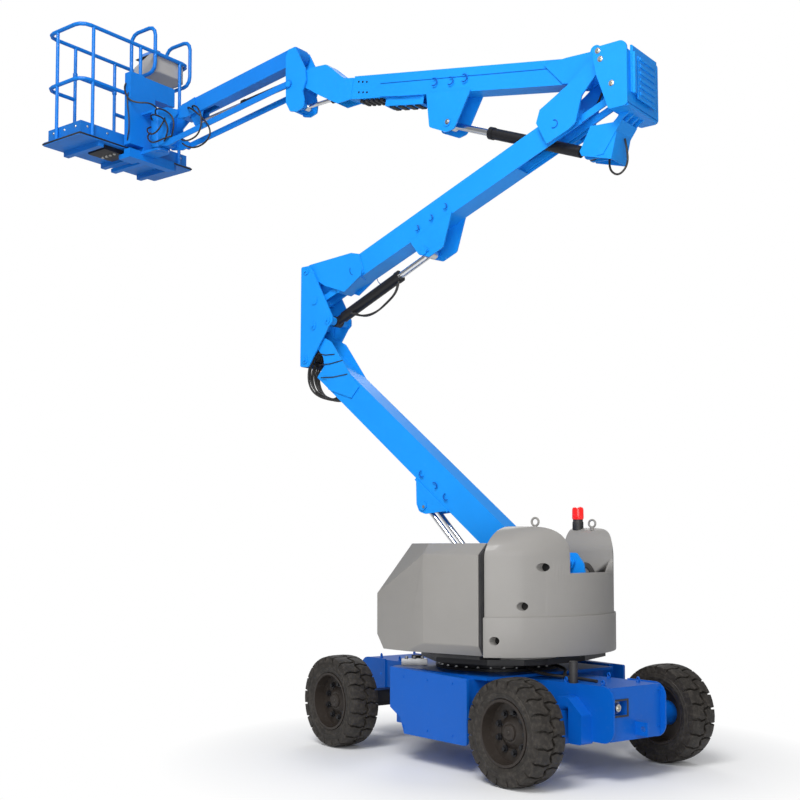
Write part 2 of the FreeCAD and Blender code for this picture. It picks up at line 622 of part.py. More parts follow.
# Knuckle housing at the top of the riser, with the foot of the boom cylinder hung under it
house_in = HOUSE_HALF - 15
house_face = [(15, 22, 20), (-251, 22, 60), (-253, -453, 30), (-104, -453, 25), (-9, -181), (15, -57)]
house = both(around(knuckle_pin, house_face), house_in, HOUSE_HALF)
rear_wall = [(-252, -430), (-236, -430), (-234, -45), (-250, -45)]
house.append(side(around(knuckle_pin, rear_wall), -house_in, house_in))
rear_cover = [(-270, -345, 14), (-248, -345), (-248, -5), (-270, -5, 14)]
house.append(side(around(knuckle_pin, rear_cover), -house_in + 45, house_in - 45))
bottom_lip = [(-252, -453), (-110, -453), (-110, -437), (-252, -437)]
house.append(side(around(knuckle_pin, bottom_lip), -house_in, house_in))
for at, pin_r, boss_r in ((knuckle_pin, PIN_R, 44), (link_head, LINK_PIN_R, 32)):
    house.append(pin(at, pin_r, -HOUSE_HALF, HOUSE_HALF))
    house += both_pins(at, boss_r, fork_in + 17, house_in)
boom_cyl_base = shifted(knuckle_pin, BOOM_CYL_FOOT)
saddle = [(-217, -428), (-112, -428), (-50, -486), (8, -536), (112, -546), (200, -636, 20), (200, -696, 20),
          (180, -707),
          (17, -719, 20), (-142, -496), (-217, -444)]
house += both(around(knuckle_pin, saddle), 32, 48)
hanger = [(-217, -428), (-134, -436), (64, -719), (17, -719, 20), (-142, -496), (-217, -444)]
house += both(around(knuckle_pin, hanger), 106, 120)
house.append(side(around(knuckle_pin, [(-146, -500), (12, -721), (24, -715), (-134, -493)]), -120, 120))
house.append(pin(boom_cyl_base, CYL_PIN_R, -56, 56))
export_turret("knuckle_housing", fuse(house))


# Primary boom in line with its pivot
def on_boom(points):
    return place(knuckle_pin, BOOM_ANGLE, points)


def boom_tube(u0, u1, inset, wall, hollow_from):
    """Box section in line with the boom, drawn in by inset and hollow past hollow_from."""
    n0 = BOOM_N0 + inset
    n1 = BOOM_N1 - inset
    half = BOOM_HALF - inset
    outer = side(on_boom([(u0, n0), (u1, n0), (u1, n1), (u0, n1)]), -half, half)
    inner = side(on_boom([(hollow_from, n0 + wall), (u1 + 20, n0 + wall), (u1 + 20, n1 - wall),
                          (hollow_from, n1 - wall)]),
                 -half + wall, half - wall)
    return outer.cut(inner)


boom = [boom_tube(170, BOOM_FRONT, 0, WALL, 300)]
boom_cheek = [(-45, 0, 20), (-20, 48, 20), (60, 60, 40), (330, 22), (520, -20), (330, -170), (200, -178),
              (-10, -50)]
boom += both(on_boom(boom_cheek), BOOM_HALF, BOOM_HALF + 14)
boom_bracket = [(255, 246), (175, -33, 30), (-5, -79, 40), (-79, -51, 40), (-184, 246)]
boom += both(on_boom(around(BOOM_CYL_EYE, boom_bracket)), BOOM_HALF, BOOM_HALF + 14)
boom_eye = on_boom([BOOM_CYL_EYE])[0]
boom += both_pins(boom_eye, 34, BOOM_HALF + 14, BOOM_HALF + 20)
boom += both_pins(boom_eye, CYL_PIN_R, 34, BOOM_HALF)
slide_gap = WALL + 2
pad = boom_tube(BOOM_FRONT - 80, BOOM_FRONT - 6, WALL / 2, slide_gap - RUN_GAP - WALL / 2, BOOM_FRONT - 100)
boom.append(pad)
boom = fuse(boom).cut(pin(knuckle_pin, PIN_R + RUN_GAP, -200, 200))
export_turret("boom_outer", boom)

barrel, rod = cylinder_parts(boom_cyl_base, boom_eye, 44, 27, 960, 44, 28)
export_turret("boom_lift_barrel", barrel)
export_turret("boom_lift_rod", rod)

# Sliding inner boom and its nose
section = [boom_tube(BOOM_FRONT - 1870, BOOM_FRONT + 60, slide_gap, 7, BOOM_FRONT - 1890)]
nose_pin = on_boom([NOSE_PIN])[0]
nose = [(-584, -31), (-474, -29), (-244, 107, 60), (-44, 87, 60), (46, 17), (41, -53), (-214, -163),
        (-434, -243),
        (-584, -213)]
section += both(on_boom(around(NOSE_PIN, nose)), 60, 72)
cap = [(-564, -31), (-474, -31), (-244, 105), (-154, 95), (-154, 81), (-239, 91), (-468, -45), (-564, -45)]
section.append(side(on_boom(around(NOSE_PIN, cap)), -60, 60))
inner_boom = fuse(section)
inner_boom = inner_boom.cut(pin(nose_pin, PIN_R + RUN_GAP, -200, 200))
slave_base = on_boom([(NOSE_PIN[0] - SLAVE_BACK, -57)])[0]
inner_boom = fuse([inner_boom, pin(slave_base, SMALL_PIN_R, -66, 66)])
export_turret("boom_inner", inner_boom)

# Jib pivot bracket, held level by the slave cylinder
jib_pin = shifted(nose_pin, JIB_STEP)
jib_link_pin = shifted(nose_pin, JIB_LINK_STEP)
jib_cyl_base = shifted(nose_pin, JIB_CYL_STEP)
slave_pin = shifted(nose_pin, SLAVE_STEP)
bracket_face = [(-34, 34), (-29, 79), (91, 299, 20), (171, 299, 20), (206, 239), (201, -181), (151, -271, 20),
                (71, -291), (-9, -271, 20), (-19, -201), (1, -121), (-41, -31)]
bracket = both(around(nose_pin, bracket_face), 82, 96)
bracket.append(pin(nose_pin, PIN_R, -96, 96))
bracket.append(side(around(nose_pin, [(146, -251), (166, -251), (166, -151), (146, -151)]), -82, 82))
tongue = [(151, -156), (151, -246), (41, -263), (11, -251), (7, -221), (31, -206)]
bracket += both(around(nose_pin, tongue), 32, 44)
bracket.append(pin(jib_pin, PIN_R, -96, 96))
bracket += both_pins(jib_link_pin, 24, 96, 112)
bracket += both_pins(slave_pin, 20, 44, 50)
bracket.append(pin(jib_cyl_base, SMALL_PIN_R, -96, 96))
export_turret("jib_bracket", fuse(bracket))

barrel, rod = cylinder_parts(slave_base, slave_pin, 30, 17, 450, 30, 25, SMALL_PIN_R, overlap=100.0)
export_turret("level_barrel", barrel)
export_turret("level_rod", rod)


# Jib beam and the links under it
def on_jib(points):
    return place(jib_pin, JIB_ANGLE, points)


jib_tip = on_jib([(JIB_LENGTH, 0)])[0]
jib_link_tip = shifted(jib_tip, (JIB_LINK_STEP[0] - JIB_STEP[0], JIB_LINK_STEP[1] - JIB_STEP[1]))
jib_beam = side(on_jib([(0, -75), (JIB_LENGTH - 60, -75), (JIB_LENGTH - 60, 75), (0, 75)]), -60, 60)
jib_beam = jib_beam.cut(side(on_jib([(90, -67), (JIB_LENGTH, -67), (JIB_LENGTH, 67), (90, 67)]), -52, 52))
jib = [jib_beam, pin(jib_pin, 75, -60, 60)]
jib_cheek = [(-260, 76), (-60, 60), (30, 35, 15), (38, -20, 15), (0, -45), (-120, -78), (-260, -76)]
jib += both(on_jib(around((JIB_LENGTH, 0), jib_cheek)), 60, 72)
eye_u, eye_n = JIB_CYL_EYE
jib += both(on_jib([(eye_u - 90, -70), (eye_u - 40, eye_n - 36), (eye_u + 40, eye_n - 36),
                    (eye_u + 90, -70)]), 34, 46)
jib = fuse(jib)
eye_slot = side(on_jib([(eye_u - 240, -80), (eye_u + 120, -80), (eye_u + 120, -60), (eye_u - 240, -60)]),
                -33, 33)
jib = jib.cut(eye_slot)
jib = jib.cut(pin(jib_pin, PIN_R + RUN_GAP, -200, 200)).cut(pin(jib_tip, PIN_R + RUN_GAP, -200, 200))
export_turret("jib_beam", jib)

link = link_between(jib_link_pin, jib_link_tip, 28, 34, 100, 112, 24)
export_turret("jib_links", Part.makeCompound([link, mirror(link)]))

barrel, rod = cylinder_parts(jib_cyl_base, on_jib([JIB_CYL_EYE])[0], 30, 19, 680, 28, 26, SMALL_PIN_R)
export_turret("jib_lift_barrel", barrel)
export_turret("jib_lift_rod", rod)

# Jib end with the rotator body
rotator_x = jib_tip[0] + ROTATOR_REACH
end_face = [(-34, -10, 12), (-20, 34, 12), (130, 90), (250, 90), (250, -268), (90, -300), (-12, -289, 15),
            (-8, -239, 15),
            (90, -180), (90, -90)]
jib_end = both(around(jib_tip, end_face), 80, 94)
jib_end.append(pin(jib_tip, PIN_R, -94, 94))
jib_end += both_pins(jib_link_tip, 24, 94, 112)
jib_end.append(side(around(jib_tip, [(170, -260), (250, -260), (250, 80), (170, 80)]), -94, 94))
rotator_z0 = jib_tip[1] - 270
rotator_z1 = rotator_z0 + 360
jib_end.append(post(rotator_x, 0, ROTATOR_R, rotator_z0, rotator_z1))
jib_end.append(post(rotator_x, 0, SHAFT_R, rotator_z0 - 35, rotator_z1 + 35))
export_turret("jib_end", fuse(jib_end))

# Platform: bracket round the rotator, floor, toe boards, posts and rails
platform_x = rotator_x + PLATFORM_REACH
floor_z = jib_tip[1] - FLOOR_DROP
px0 = platform_x - PLATFORM_SHORT / 2
px1 = platform_x + PLATFORM_SHORT / 2
py0 = PLATFORM_Y - PLATFORM_LONG / 2
py1 = PLATFORM_Y + PLATFORM_LONG / 2
rail_z = floor_z + RAIL_HEIGHT
mid_z = floor_z + 0.5 * RAIL_HEIGHT
post_out = RAIL_R + SEAT_GAP
column_x = px0 - 110
column_top = rail_z - 350
mount = [box(column_x, px0 - post_out, 60, 230, floor_z + 5, column_top),
         box(column_x, px0 - post_out, -340, 60, column_top - 200, column_top - 10),
         box(column_x, px0 - post_out, -340, 230, floor_z - 130, floor_z - 40),
         box(column_x, px0 - post_out, -85, 60, floor_z - 90, column_top - 150),
         box(column_x, px0 + 60, 60, 230, floor_z - 130, floor_z - 82),
         box(column_x, px1 - 80, -60, 0, floor_z - 120, floor_z - 82)]
for z0 in (rotator_z1 + 5, rotator_z0 - 30):
    mount.append(box(rotator_x, column_x + 20, -85, 85, z0, z0 + 25))
    mount.append(post(rotator_x, 0, 85, z0, z0 + 25))
mount = fuse(mount).cut(post(rotator_x, 0, SHAFT_R + RUN_GAP, rotator_z0 - 100, rotator_z1 + 100))
export_turret("platform_mount", mount)

edge_x0, edge_x1 = px0 - RAIL_R, px1 + RAIL_R
edge_y0, edge_y1 = py0 - RAIL_R, py1 + RAIL_R
floor = [plan([(edge_x0, edge_y0, 20), (edge_x1, edge_y0, 20), (edge_x1, edge_y1, 20),
               (edge_x0, edge_y1, 20)],
              floor_z - 30, floor_z)]
for share in (0.13, 0.47, 0.8):
    rib_y = py0 + share * PLATFORM_LONG
    floor.append(box(px0, px1, rib_y, rib_y + 60, floor_z - 80, floor_z - 30))
toe_z = floor_z + 125
skin = post_out + 4
toe = box(px0 + post_out, px1 - post_out, py0 + post_out, py1 - post_out, floor_z, toe_z)
floor.append(toe.cut(box(px0 + skin, px1 - skin, py0 + skin, py1 - skin, floor_z, toe_z)))
export_turret("platform_floor", fuse(floor))

gate_y = (400, -95)
hoop_y = (-170, py0)
hoop_x = px0 + 0.68 * PLATFORM_SHORT
hoop_z0 = rail_z - 200
hoop_z1 = rail_z + 280
rails = []
for z in (rail_z, mid_z):
    gate = gate_y if z == mid_z else (PLATFORM_Y, PLATFORM_Y)
    left_half = [(px0, PLATFORM_Y, z), (px0, py1, z), (px1, py1, z), (px1, gate[0], z)]
    right_half = [(px1, gate[1], z), (px1, py0, z), (px0, py0, z), (px0, PLATFORM_Y, z)]
    rails += [tube(left_half, RAIL_R, RAIL_BEND), tube(right_half, RAIL_R, RAIL_BEND)]
for x, y in ((px1, gate_y[0]), (px1, gate_y[1]), (px1, py0 + 140), (px0, py0 + 140), (hoop_x, py1),
             (px0, py1 - 140),
             (px0, 20)):
    rails.append(post(x, y, POST_R, floor_z + SEAT_GAP, rail_z))
for y in hoop_y:
    middle = (px0 + hoop_x) / 2
    for x in (px0, hoop_x):
        rails.append(tube([(middle, y, hoop_z0), (x, y, hoop_z0), (x, y, hoop_z1), (middle, y, hoop_z1)],
                          RAIL_R, 95))
export_turret("platform_rails", fuse(rails))

drop_z = mid_z + 240
drop = [bar((px1, gate_y[1], drop_z), (px1, gate_y[0], drop_z), 16)]
for y in gate_y:
    drop.append(post(px1, y, POST_R + 7, drop_z - 30, drop_z + 30))
drop = fuse(drop)
for y in gate_y:
    drop = drop.cut(post(px1, y, POST_R + RUN_GAP, drop_z - 40, drop_z + 40))
export_turret("platform_drop_bar", drop)

clear = RAIL_R + SEAT_GAP
console_side = [(px0 + clear, hoop_z0 + clear, 15), (hoop_x - clear, hoop_z0 + clear, 15),
                (hoop_x - clear, rail_z - 70, 25),
                (px0 + 110, rail_z + 20, 20), (px0 + clear, rail_z + 20, 20)]
console_y = hoop_y[0] - clear
corner_cut = plan([(px0 + clear, py0 + RAIL_BEND + 8), (px0 + 38, py0 + 64), (px0 + 64, py0 + 38),
                   (px0 + RAIL_BEND + 8, py0 + clear), (hoop_x, py0 + clear), (hoop_x, console_y),
                   (px0 + clear, console_y)], hoop_z0, hoop_z1)
export_turret("platform_console", side(console_side, py0 + clear, console_y).common(corner_cut))
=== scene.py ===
"""Finish, hoses, fasteners and small fittings of an articulating boom lift.

Everything is in metres. The turret and all that it carries is drawn with the boom plane on y = 0
and turned with the turret, and each arm has its own frame: along the arm, left, above the arm.
"""

import json
import math

import bmesh
import bpy
from bpy.props import FloatProperty, FloatVectorProperty, IntProperty, PointerProperty
from mathutils import Matrix, Vector


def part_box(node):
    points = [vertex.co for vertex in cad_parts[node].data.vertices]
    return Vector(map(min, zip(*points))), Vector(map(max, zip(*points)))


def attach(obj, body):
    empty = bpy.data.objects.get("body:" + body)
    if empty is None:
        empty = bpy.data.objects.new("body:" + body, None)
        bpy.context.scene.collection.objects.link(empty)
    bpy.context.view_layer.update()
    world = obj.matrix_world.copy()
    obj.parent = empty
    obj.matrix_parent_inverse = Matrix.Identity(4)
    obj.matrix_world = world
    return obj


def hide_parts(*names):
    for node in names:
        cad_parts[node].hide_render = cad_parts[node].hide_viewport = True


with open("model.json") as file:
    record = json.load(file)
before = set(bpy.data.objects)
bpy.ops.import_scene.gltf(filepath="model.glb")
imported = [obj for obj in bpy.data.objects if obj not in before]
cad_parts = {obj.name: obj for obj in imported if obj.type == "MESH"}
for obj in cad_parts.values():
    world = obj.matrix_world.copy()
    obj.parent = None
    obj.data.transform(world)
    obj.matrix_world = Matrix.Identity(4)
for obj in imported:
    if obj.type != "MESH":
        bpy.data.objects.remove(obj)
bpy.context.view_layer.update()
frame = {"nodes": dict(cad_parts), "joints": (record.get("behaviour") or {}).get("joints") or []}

bl_info = {
    "name": "Boom Lift Finish",
    "version": (1, 0, 0),
    "blender": (4, 5, 0),
    "location": "View3D > Sidebar > Boom Lift",
    "description": "Paint, hoses, fasteners and fittings of an articulating boom lift",
    "category": "Object",
}

JOINTS = {joint["name"]: joint for joint in frame["joints"]}
Y = Vector((0.0, 1.0, 0.0))
Z = Vector((0.0, 0.0, 1.0))


# Frames of the turret and of the arms


def joint_point(name):
    return Vector(JOINTS[name]["pos_m"])


def joint_axis(name):
    return Vector(JOINTS[name]["axis"])


def turret_matrix():
    along = joint_axis("boom_extend")
    return Matrix.Rotation(math.atan2(along.y, along.x), 4, "Z")


TURRET = turret_matrix()


def arm_matrix(start, along):
    """Frame at start with x along the arm, y to the left and z above it."""
    along = along.normalized()
    left = TURRET.to_3x3() @ Y
    above = along.cross(left)
    rows = Matrix((along, left, above)).transposed()
    return Matrix.Translation(start) @ rows.to_4x4()


def between(first, second):
    a = joint_point(first)
    return arm_matrix(a, joint_point(second) - a)


LOWER = between("lower_arm_lift", "mid_pivot_level")
UPPER = between("boom_lift", "upper_arm_lift")
BOOM = arm_matrix(joint_point("boom_lift"), joint_axis("boom_extend"))
JIB = between("jib_lift", "jib_end_level")
CHASSIS = Matrix.Identity(4)


def level_at(name):
    """Frame at a joint with the turret's directions."""
    return Matrix.Translation(joint_point(name)) @ TURRET


MID = level_at("mid_pivot_level")
KNUCKLE = level_at("boom_lift")
JIB_END = level_at("jib_end_level")


# Shader maths


class Socket:
    """A shader socket that adds Math nodes when used in an expression."""

    def __init__(self, tree, output):
        self.tree = tree
        self.output = output

    def _math(self, operation, first, second=None):
        node = self.tree.nodes.new("ShaderNodeMath")
        node.operation = operation
        for place, value in zip(node.inputs, (first, second)):
            if isinstance(value, Socket):
                self.tree.links.new(value.output, place)
            elif value is not None:
                place.default_value = value
        return Socket(self.tree, node.outputs[0])

    def __add__(self, other):
        return self._math("ADD", self, other)

    def __radd__(self, other):
        return self._math("ADD", other, self)

    def __sub__(self, other):
        return self._math("SUBTRACT", self, other)

    def __rsub__(self, other):
        return self._math("SUBTRACT", other, self)

    def __mul__(self, other):
        return self._math("MULTIPLY", self, other)

    def __rmul__(self, other):
        return self._math("MULTIPLY", other, self)

    def __pow__(self, other):
        return self._math("POWER", self, other)

    def clamped(self):
        return self._math("MINIMUM", self._math("MAXIMUM", self, 0.0), 1.0)


class Shader:
    """One material with its principled shader and short calls for the other nodes."""

    def __init__(self, name):
        self.material = bpy.data.materials.new(name)
        self.material.use_nodes = True
        self.tree = self.material.node_tree
        self.bsdf = self.tree.nodes["Principled BSDF"]
        self.place = self.node("ShaderNodeTexCoord", out="Object")

    def node(self, kind, settings=None, out=0, **values):
        node = self.tree.nodes.new(kind)
        for key, value in (settings or {}).items():
            setattr(node, key, value)
        for key, value in values.items():
            self.feed(node.inputs[key.replace("_", " ")], value)
        return Socket(self.tree, node.outputs[out])

    def feed(self, socket, value):
        if isinstance(value, Socket):
            self.tree.links.new(value.output, socket)
        else:
            socket.default_value = value

    def noise(self, scale, detail=2.0, roughness=0.5, stretch=(1.0, 1.0, 1.0)):
        vector = self.node("ShaderNodeMapping", Vector=self.place, Scale=stretch)
        return self.node("ShaderNodeTexNoise", Vector=vector, Scale=scale, Detail=detail, Roughness=roughness)

    def mix(self, factor, first, second):
        node = self.tree.nodes.new("ShaderNodeMix")
        node.data_type = "RGBA"
        for index, value in ((0, factor), (6, first), (7, second)):
            if not isinstance(value, (Socket, float)):
                value = (*value, 1.0)
            self.feed(node.inputs[index], value)
        return Socket(self.tree, node.outputs[2])

    def bump(self, height, distance, strength=1.0):
        normal = self.node("ShaderNodeBump", Height=height, Distance=distance, Strength=strength)
        self.set(Normal=normal)

    def set(self, **values):
        for key, value in values.items():
            self.feed(self.bsdf.inputs[key.replace("_", " ")], value)
        return self


def shade(colour, factor):
    return tuple(min(1.0, part * factor) for part in colour)


def paint(name, colour, roughness, coat, dirt=0.25, painted_shade_below=None):
    """Sprayed paint: faint orange peel, slow change of tone, light dust; under a height if given, near black
    as painted shade.
    """
    s = Shader(name)
    cloud = s.noise(1.6, 4.0, 0.6)
    fine = s.noise(30.0, 4.0, 0.6)
    tone = s.mix((cloud * 1.6 - 0.3).clamped(), shade(colour, 0.92), shade(colour, 1.06))
    dust = ((fine * 2.0 - 1.15).clamped() * dirt) * (cloud * 1.4 - 0.2).clamped()
    dusty = s.mix(dust * 0.6, tone, (0.3, 0.3, 0.29))
    # Painted shade: below the given height the colour is near black.
    if painted_shade_below is not None:
        height = s.node("ShaderNodeSeparateXYZ", out=2, Vector=s.place)
        dusty = s.mix(((height - painted_shade_below) * 400.0).clamped(), (0.012, 0.012, 0.014), dusty)
    s.set(Base_Color=dusty)
    s.set(Roughness=(roughness + 0.12 * (cloud - 0.5) + 0.25 * dust).clamped())
    s.set(Coat_Weight=coat, Coat_Roughness=0.1, Specular_IOR_Level=0.22)
    s.bump(s.noise(380.0, 2.0, 0.5) + 2.5 * s.noise(3.5, 2.0, 0.5), 0.0004, 0.3)
    return s.material


def bare_metal(name, colour, roughness, metallic=1.0, brushed=(1.0, 1.0, 1.0)):
    s = Shader(name)
    grain = s.noise(160.0, 3.0, 0.6, brushed)
    cloud = s.noise(9.0, 3.0, 0.5)
    s.set(Base_Color=s.mix((cloud * 1.5 - 0.25).clamped(), shade(colour, 0.8), shade(colour, 1.1)))
    s.set(Metallic=metallic, Roughness=(roughness + 0.2 * (grain - 0.5)).clamped())
    s.bump(grain, 0.0002, 0.3)
    return s.material


def moulded(name, colour, roughness, grain=520.0, dusty=0.2, depth=0.0005):
    """Moulded plastic or rubber: fine grain, dust in the hollows, worn tone."""
    s = Shader(name)
    cloud = s.noise(5.0, 4.0, 0.6)
    pebble = s.noise(grain, 2.0, 0.5)
    tone = s.mix((cloud * 1.5 - 0.3).clamped(), shade(colour, 0.75), shade(colour, 1.2))
    s.set(Base_Color=s.mix((cloud * 1.6 - 0.6).clamped() * dusty, tone, (0.24, 0.22, 0.19)))
    s.set(Roughness=(roughness + 0.15 * (pebble - 0.5)).clamped(), Specular_IOR_Level=0.4)
    s.bump(pebble + 1.5 * cloud, depth, 0.5)
    return s.material


def tyre_rubber(name, colour):
    """Tyre rubber with fine circumferential lines on the walls and dust on the lugs."""
    s = Shader(name)
    cloud = s.noise(7.0, 5.0, 0.65)
    fine = s.noise(140.0, 3.0, 0.6)
    scuff = s.noise(30.0, 4.0, 0.7)
    tone = s.mix((cloud * 1.7 - 0.35).clamped(), shade(colour, 0.7), shade(colour, 1.35))
    dust = (scuff * 2.4 - 1.1).clamped() * 0.35
    s.set(Base_Color=s.mix(dust, tone, (0.19, 0.165, 0.14)))
    s.set(Roughness=(0.62 + 0.25 * (fine - 0.5) + 0.15 * dust).clamped(), Specular_IOR_Level=0.4)
    s.bump(fine + 2.0 * scuff, 0.0012, 0.55)
    return s.material


def chrome_rod(name, colour):
    s = Shader(name)
    lines = s.noise(70.0)
    s.set(Base_Color=s.mix(lines, shade(colour, 0.9), colour))
    s.set(Metallic=1.0, Roughness=(0.12 + 0.08 * lines).clamped())
    s.bump(lines, 0.0001, 0.2)
    return s.material


def lens(name, colour):
    """Moulded lens with upright flutes."""
    s = Shader(name)
    wave = s.noise(60.0, 1.0, 0.5, (1.0, 1.0, 0.05))
    s.set(Base_Color=s.mix(wave, shade(colour, 0.75), colour), Roughness=0.18 + 0.08 * wave)
    s.set(Emission_Color=(*colour, 1.0), Emission_Strength=0.5, Coat_Weight=0.3)
    s.bump(wave, 0.0003, 0.3)
    return s.material


def tread_plate(name, colour):
    """Painted floor plate with rows of small raised bars."""
    s = Shader(name)
    cloud = s.noise(3.0, 4.0, 0.6)
    bars = s.node("ShaderNodeTexVoronoi", {"feature": "DISTANCE_TO_EDGE"}, Vector=s.place, Scale=32.0)
    s.set(Base_Color=s.mix((cloud * 1.6 - 0.3).clamped(), shade(colour, 0.7), colour))
    s.set(Roughness=(0.45 + 0.2 * (cloud - 0.5)).clamped(), Coat_Weight=0.1)
    s.bump(bars.clamped(), 0.002, 0.5)
    return s.material


# Mesh building


def turns(count, start=0.0):
    """Angles of equal steps round a circle, the first one start steps on."""
    return [2 * math.pi * (i + start) / count for i in range(count)]


def both_sides(points):
    """Rows of place and facing on both sides of the boom plane, for bolts that face outwards."""
    return [((x, side * y, z), (0, side, 0)) for x, y, z in points for side in (1, -1)]


def round_edges(mesh, edges, width, segments=2):
    bmesh.ops.bevel(mesh, geom=edges, offset=width, segments=segments, affect="EDGES", profile=0.7)


def round_axis(axis):
    """The axis at length one and two directions across it."""
    axis = Vector(axis).normalized()
    across = axis.orthogonal().normalized()
    return axis, across, axis.cross(across)


def turned_box(name):
    """Corners of a CAD node's box along the turret's directions."""
    inverse = TURRET.inverted()
    points = [inverse @ vert.co for vert in frame["nodes"][name].data.vertices]
    low = Vector(min(p[i] for p in points) for i in range(3))
    high = Vector(max(p[i] for p in points) for i in range(3))
    return low, high


class Shape:
    """Collects solids drawn in one frame and turns them into one piece on one body."""

    def __init__(self, place=CHASSIS):
        self.place = place
        self.mesh = bmesh.new()

    def _tidy(self, faces, bevel, segments):
        """Turns new faces outwards and rounds their sharp edges."""
        bmesh.ops.recalc_face_normals(self.mesh, faces=faces)
        if bevel > 0:
            found = {edge for face in faces for edge in face.edges}
            edges = [edge for edge in found if edge.calc_face_angle(0.0) > math.radians(25)]
            round_edges(self.mesh, edges, bevel, segments)

    def _drawn(self, corner, outline, ends, bevel, segments):
        """Outline drawn out between two ends; corner gives x, y, z for a point of it and an end."""
        rings = [[self.mesh.verts.new(corner(a, b, end)) for a, b in outline] for end in ends]
        faces = [self.mesh.faces.new(ring) for ring in rings]
        for i in range(len(outline)):
            j = (i + 1) % len(outline)
            faces.append(self.mesh.faces.new((rings[0][i], rings[0][j], rings[1][j], rings[1][i])))
        self._tidy(faces, bevel, segments)
        return self

    def prism(self, outline, y0, y1, bevel=0.003, segments=2):
        """Outline in x, z drawn out from y0 to y1."""
        return self._drawn(lambda x, z, y: (x, y, z), outline, (y0, y1), bevel, segments)

    def slab(self, outline, z0, z1, bevel=0.003, segments=2):
        """Outline in x, y drawn up from z0 to z1."""
        return self._drawn(lambda x, y, z: (x, y, z), outline, (z0, z1), bevel, segments)

    def length(self, outline, x0, x1, bevel=0.003, segments=2):
        """Outline in y, z drawn out from x0 to x1."""
        return self._drawn(lambda y, z, x: (x, y, z), outline, (x0, x1), bevel, segments)

    def block(self, low, high, bevel=0.003, segments=2):
        outline = [(low[0], low[2]), (high[0], low[2]), (high[0], high[2]), (low[0], high[2])]
        return self.prism(outline, low[1], high[1], bevel, segments)

    def lathe(self, profile, start, axis, segments=32, closed=False):
        """Profile of along, radius pairs turned round axis from start; a closed one makes a ring."""
        axis, across, other = round_axis(axis)
        rings = []
        for along, radius in profile:
            centre = Vector(start) + axis * along
            if radius < 1e-6:
                rings.append([self.mesh.verts.new(centre)])
                continue
            rings.append([self.mesh.verts.new(centre + radius * (across * math.cos(a) + other * math.sin(a)))
                          for a in turns(segments)])
        faces = []
        for first, second in zip(rings, rings[1:] + rings[:1] if closed else rings[1:]):
            for i in range(segments):
                j = (i + 1) % segments
                corners = [first[i % len(first)], first[j % len(first)]]
                corners += [second[j % len(second)], second[i % len(second)]]
                faces.append(self.mesh.faces.new(list(dict.fromkeys(corners))))
        for ring in (rings[0], rings[-1]):
            if len(ring) > 2 and not closed:
                faces.append(self.mesh.faces.new(ring))
        self._tidy(faces, 0.0, 1)
        return self

    def rod(self, a, b, radius, segments=20, edge=0.001):
        run = Vector(b) - Vector(a)
        profile = [(0.0, 0.0), (0.0, radius - edge), (edge, radius), (run.length - edge, radius),
                   (run.length, radius - edge), (run.length, 0.0)]
        return self.lathe(profile, a, run, segments)

    def sweep(self, points, radius, sides=10, closed=False):
        """A round bar along points, with mitred corners."""
        points = [Vector(p) for p in points]
        count = len(points)
        rings = []
        side = None
        for i, point in enumerate(points):
            before = points[i - 1] if (i or closed) else point
            after = points[(i + 1) % count] if (i + 1 < count or closed) else point
            direction = ((after - point).normalized() + (point - before).normalized()).normalized()
            side = direction.orthogonal() if side is None else side - direction * side.dot(direction)
            side.normalize()
            up = direction.cross(side)
            rings.append([self.mesh.verts.new(point + radius * (side * math.cos(a) + up * math.sin(a)))
                          for a in turns(sides)])
        pairs = list(zip(rings, rings[1:])) + ([(rings[-1], rings[0])] if closed else [])
        faces = []
        for first, second in pairs:
            for k in range(sides):
                m = (k + 1) % sides
                faces.append(self.mesh.faces.new((first[k], first[m], second[m], second[k])))
        if not closed:
            faces += [self.mesh.faces.new(rings[0]), self.mesh.faces.new(rings[-1])]
        bmesh.ops.recalc_face_normals(self.mesh, faces=faces)
        return self

    def arc_bar(self, at, y, radius, first, last, bar=0.0035):
        """Round bar bent along part of a circle, lying on the plane y; angles in degrees."""
        points = []
        for i in range(9):
            a = math.radians(first + (last - first) * i / 8)
            points.append((at[0] + radius * math.cos(a), y, at[1] + radius * math.sin(a)))
        return self.sweep(points, bar, 8)

    def ring(self, centre, axis, radius, bar, segments=32):
        """Closed round bar about centre."""
        across, other = round_axis(axis)[1:]
        points = [Vector(centre) + radius * (across * math.cos(a) + other * math.sin(a))
                  for a in turns(segments)]
        return self.sweep(points, bar, 10, True)

    def planes(self, low, high, cuts, bevel=0.0, segments=2):
        """Block from low to high with what lies outside each cut's point and facing taken off."""
        body = bmesh.new()
        bmesh.ops.create_cube(body, size=1.0)
        middle = (Vector(low) + Vector(high)) / 2
        span = Vector(high) - Vector(low)
        for vert in body.verts:
            vert.co = Vector(p * q for p, q in zip(vert.co, span)) + middle
        for point, facing in cuts:
            geom = body.verts[:] + body.edges[:] + body.faces[:]
            result = bmesh.ops.bisect_plane(body, geom=geom, plane_co=point, plane_no=facing,
                                            clear_outer=True)
            edges = [g for g in result["geom_cut"] if isinstance(g, bmesh.types.BMEdge)]
            if edges:
                bmesh.ops.edgeloop_fill(body, edges=edges)
        bmesh.ops.recalc_face_normals(body, faces=body.faces[:])
        if bevel > 0:
            round_edges(body, body.edges[:], bevel, segments)
        data = bpy.data.meshes.new("planes")
        body.to_mesh(data)
        body.free()
        self.mesh.from_mesh(data)
        bpy.data.meshes.remove(data)
        return self

    def carved(self, cutters):
        """The same shape after each cutter and its boolean operation, in the same frame."""
        def as_object(shape):
            data = bpy.data.meshes.new("carve")
            shape.mesh.to_mesh(data)
            shape.mesh.free()
            made = bpy.data.objects.new("carve", data)
            bpy.context.scene.collection.objects.link(made)
            return made

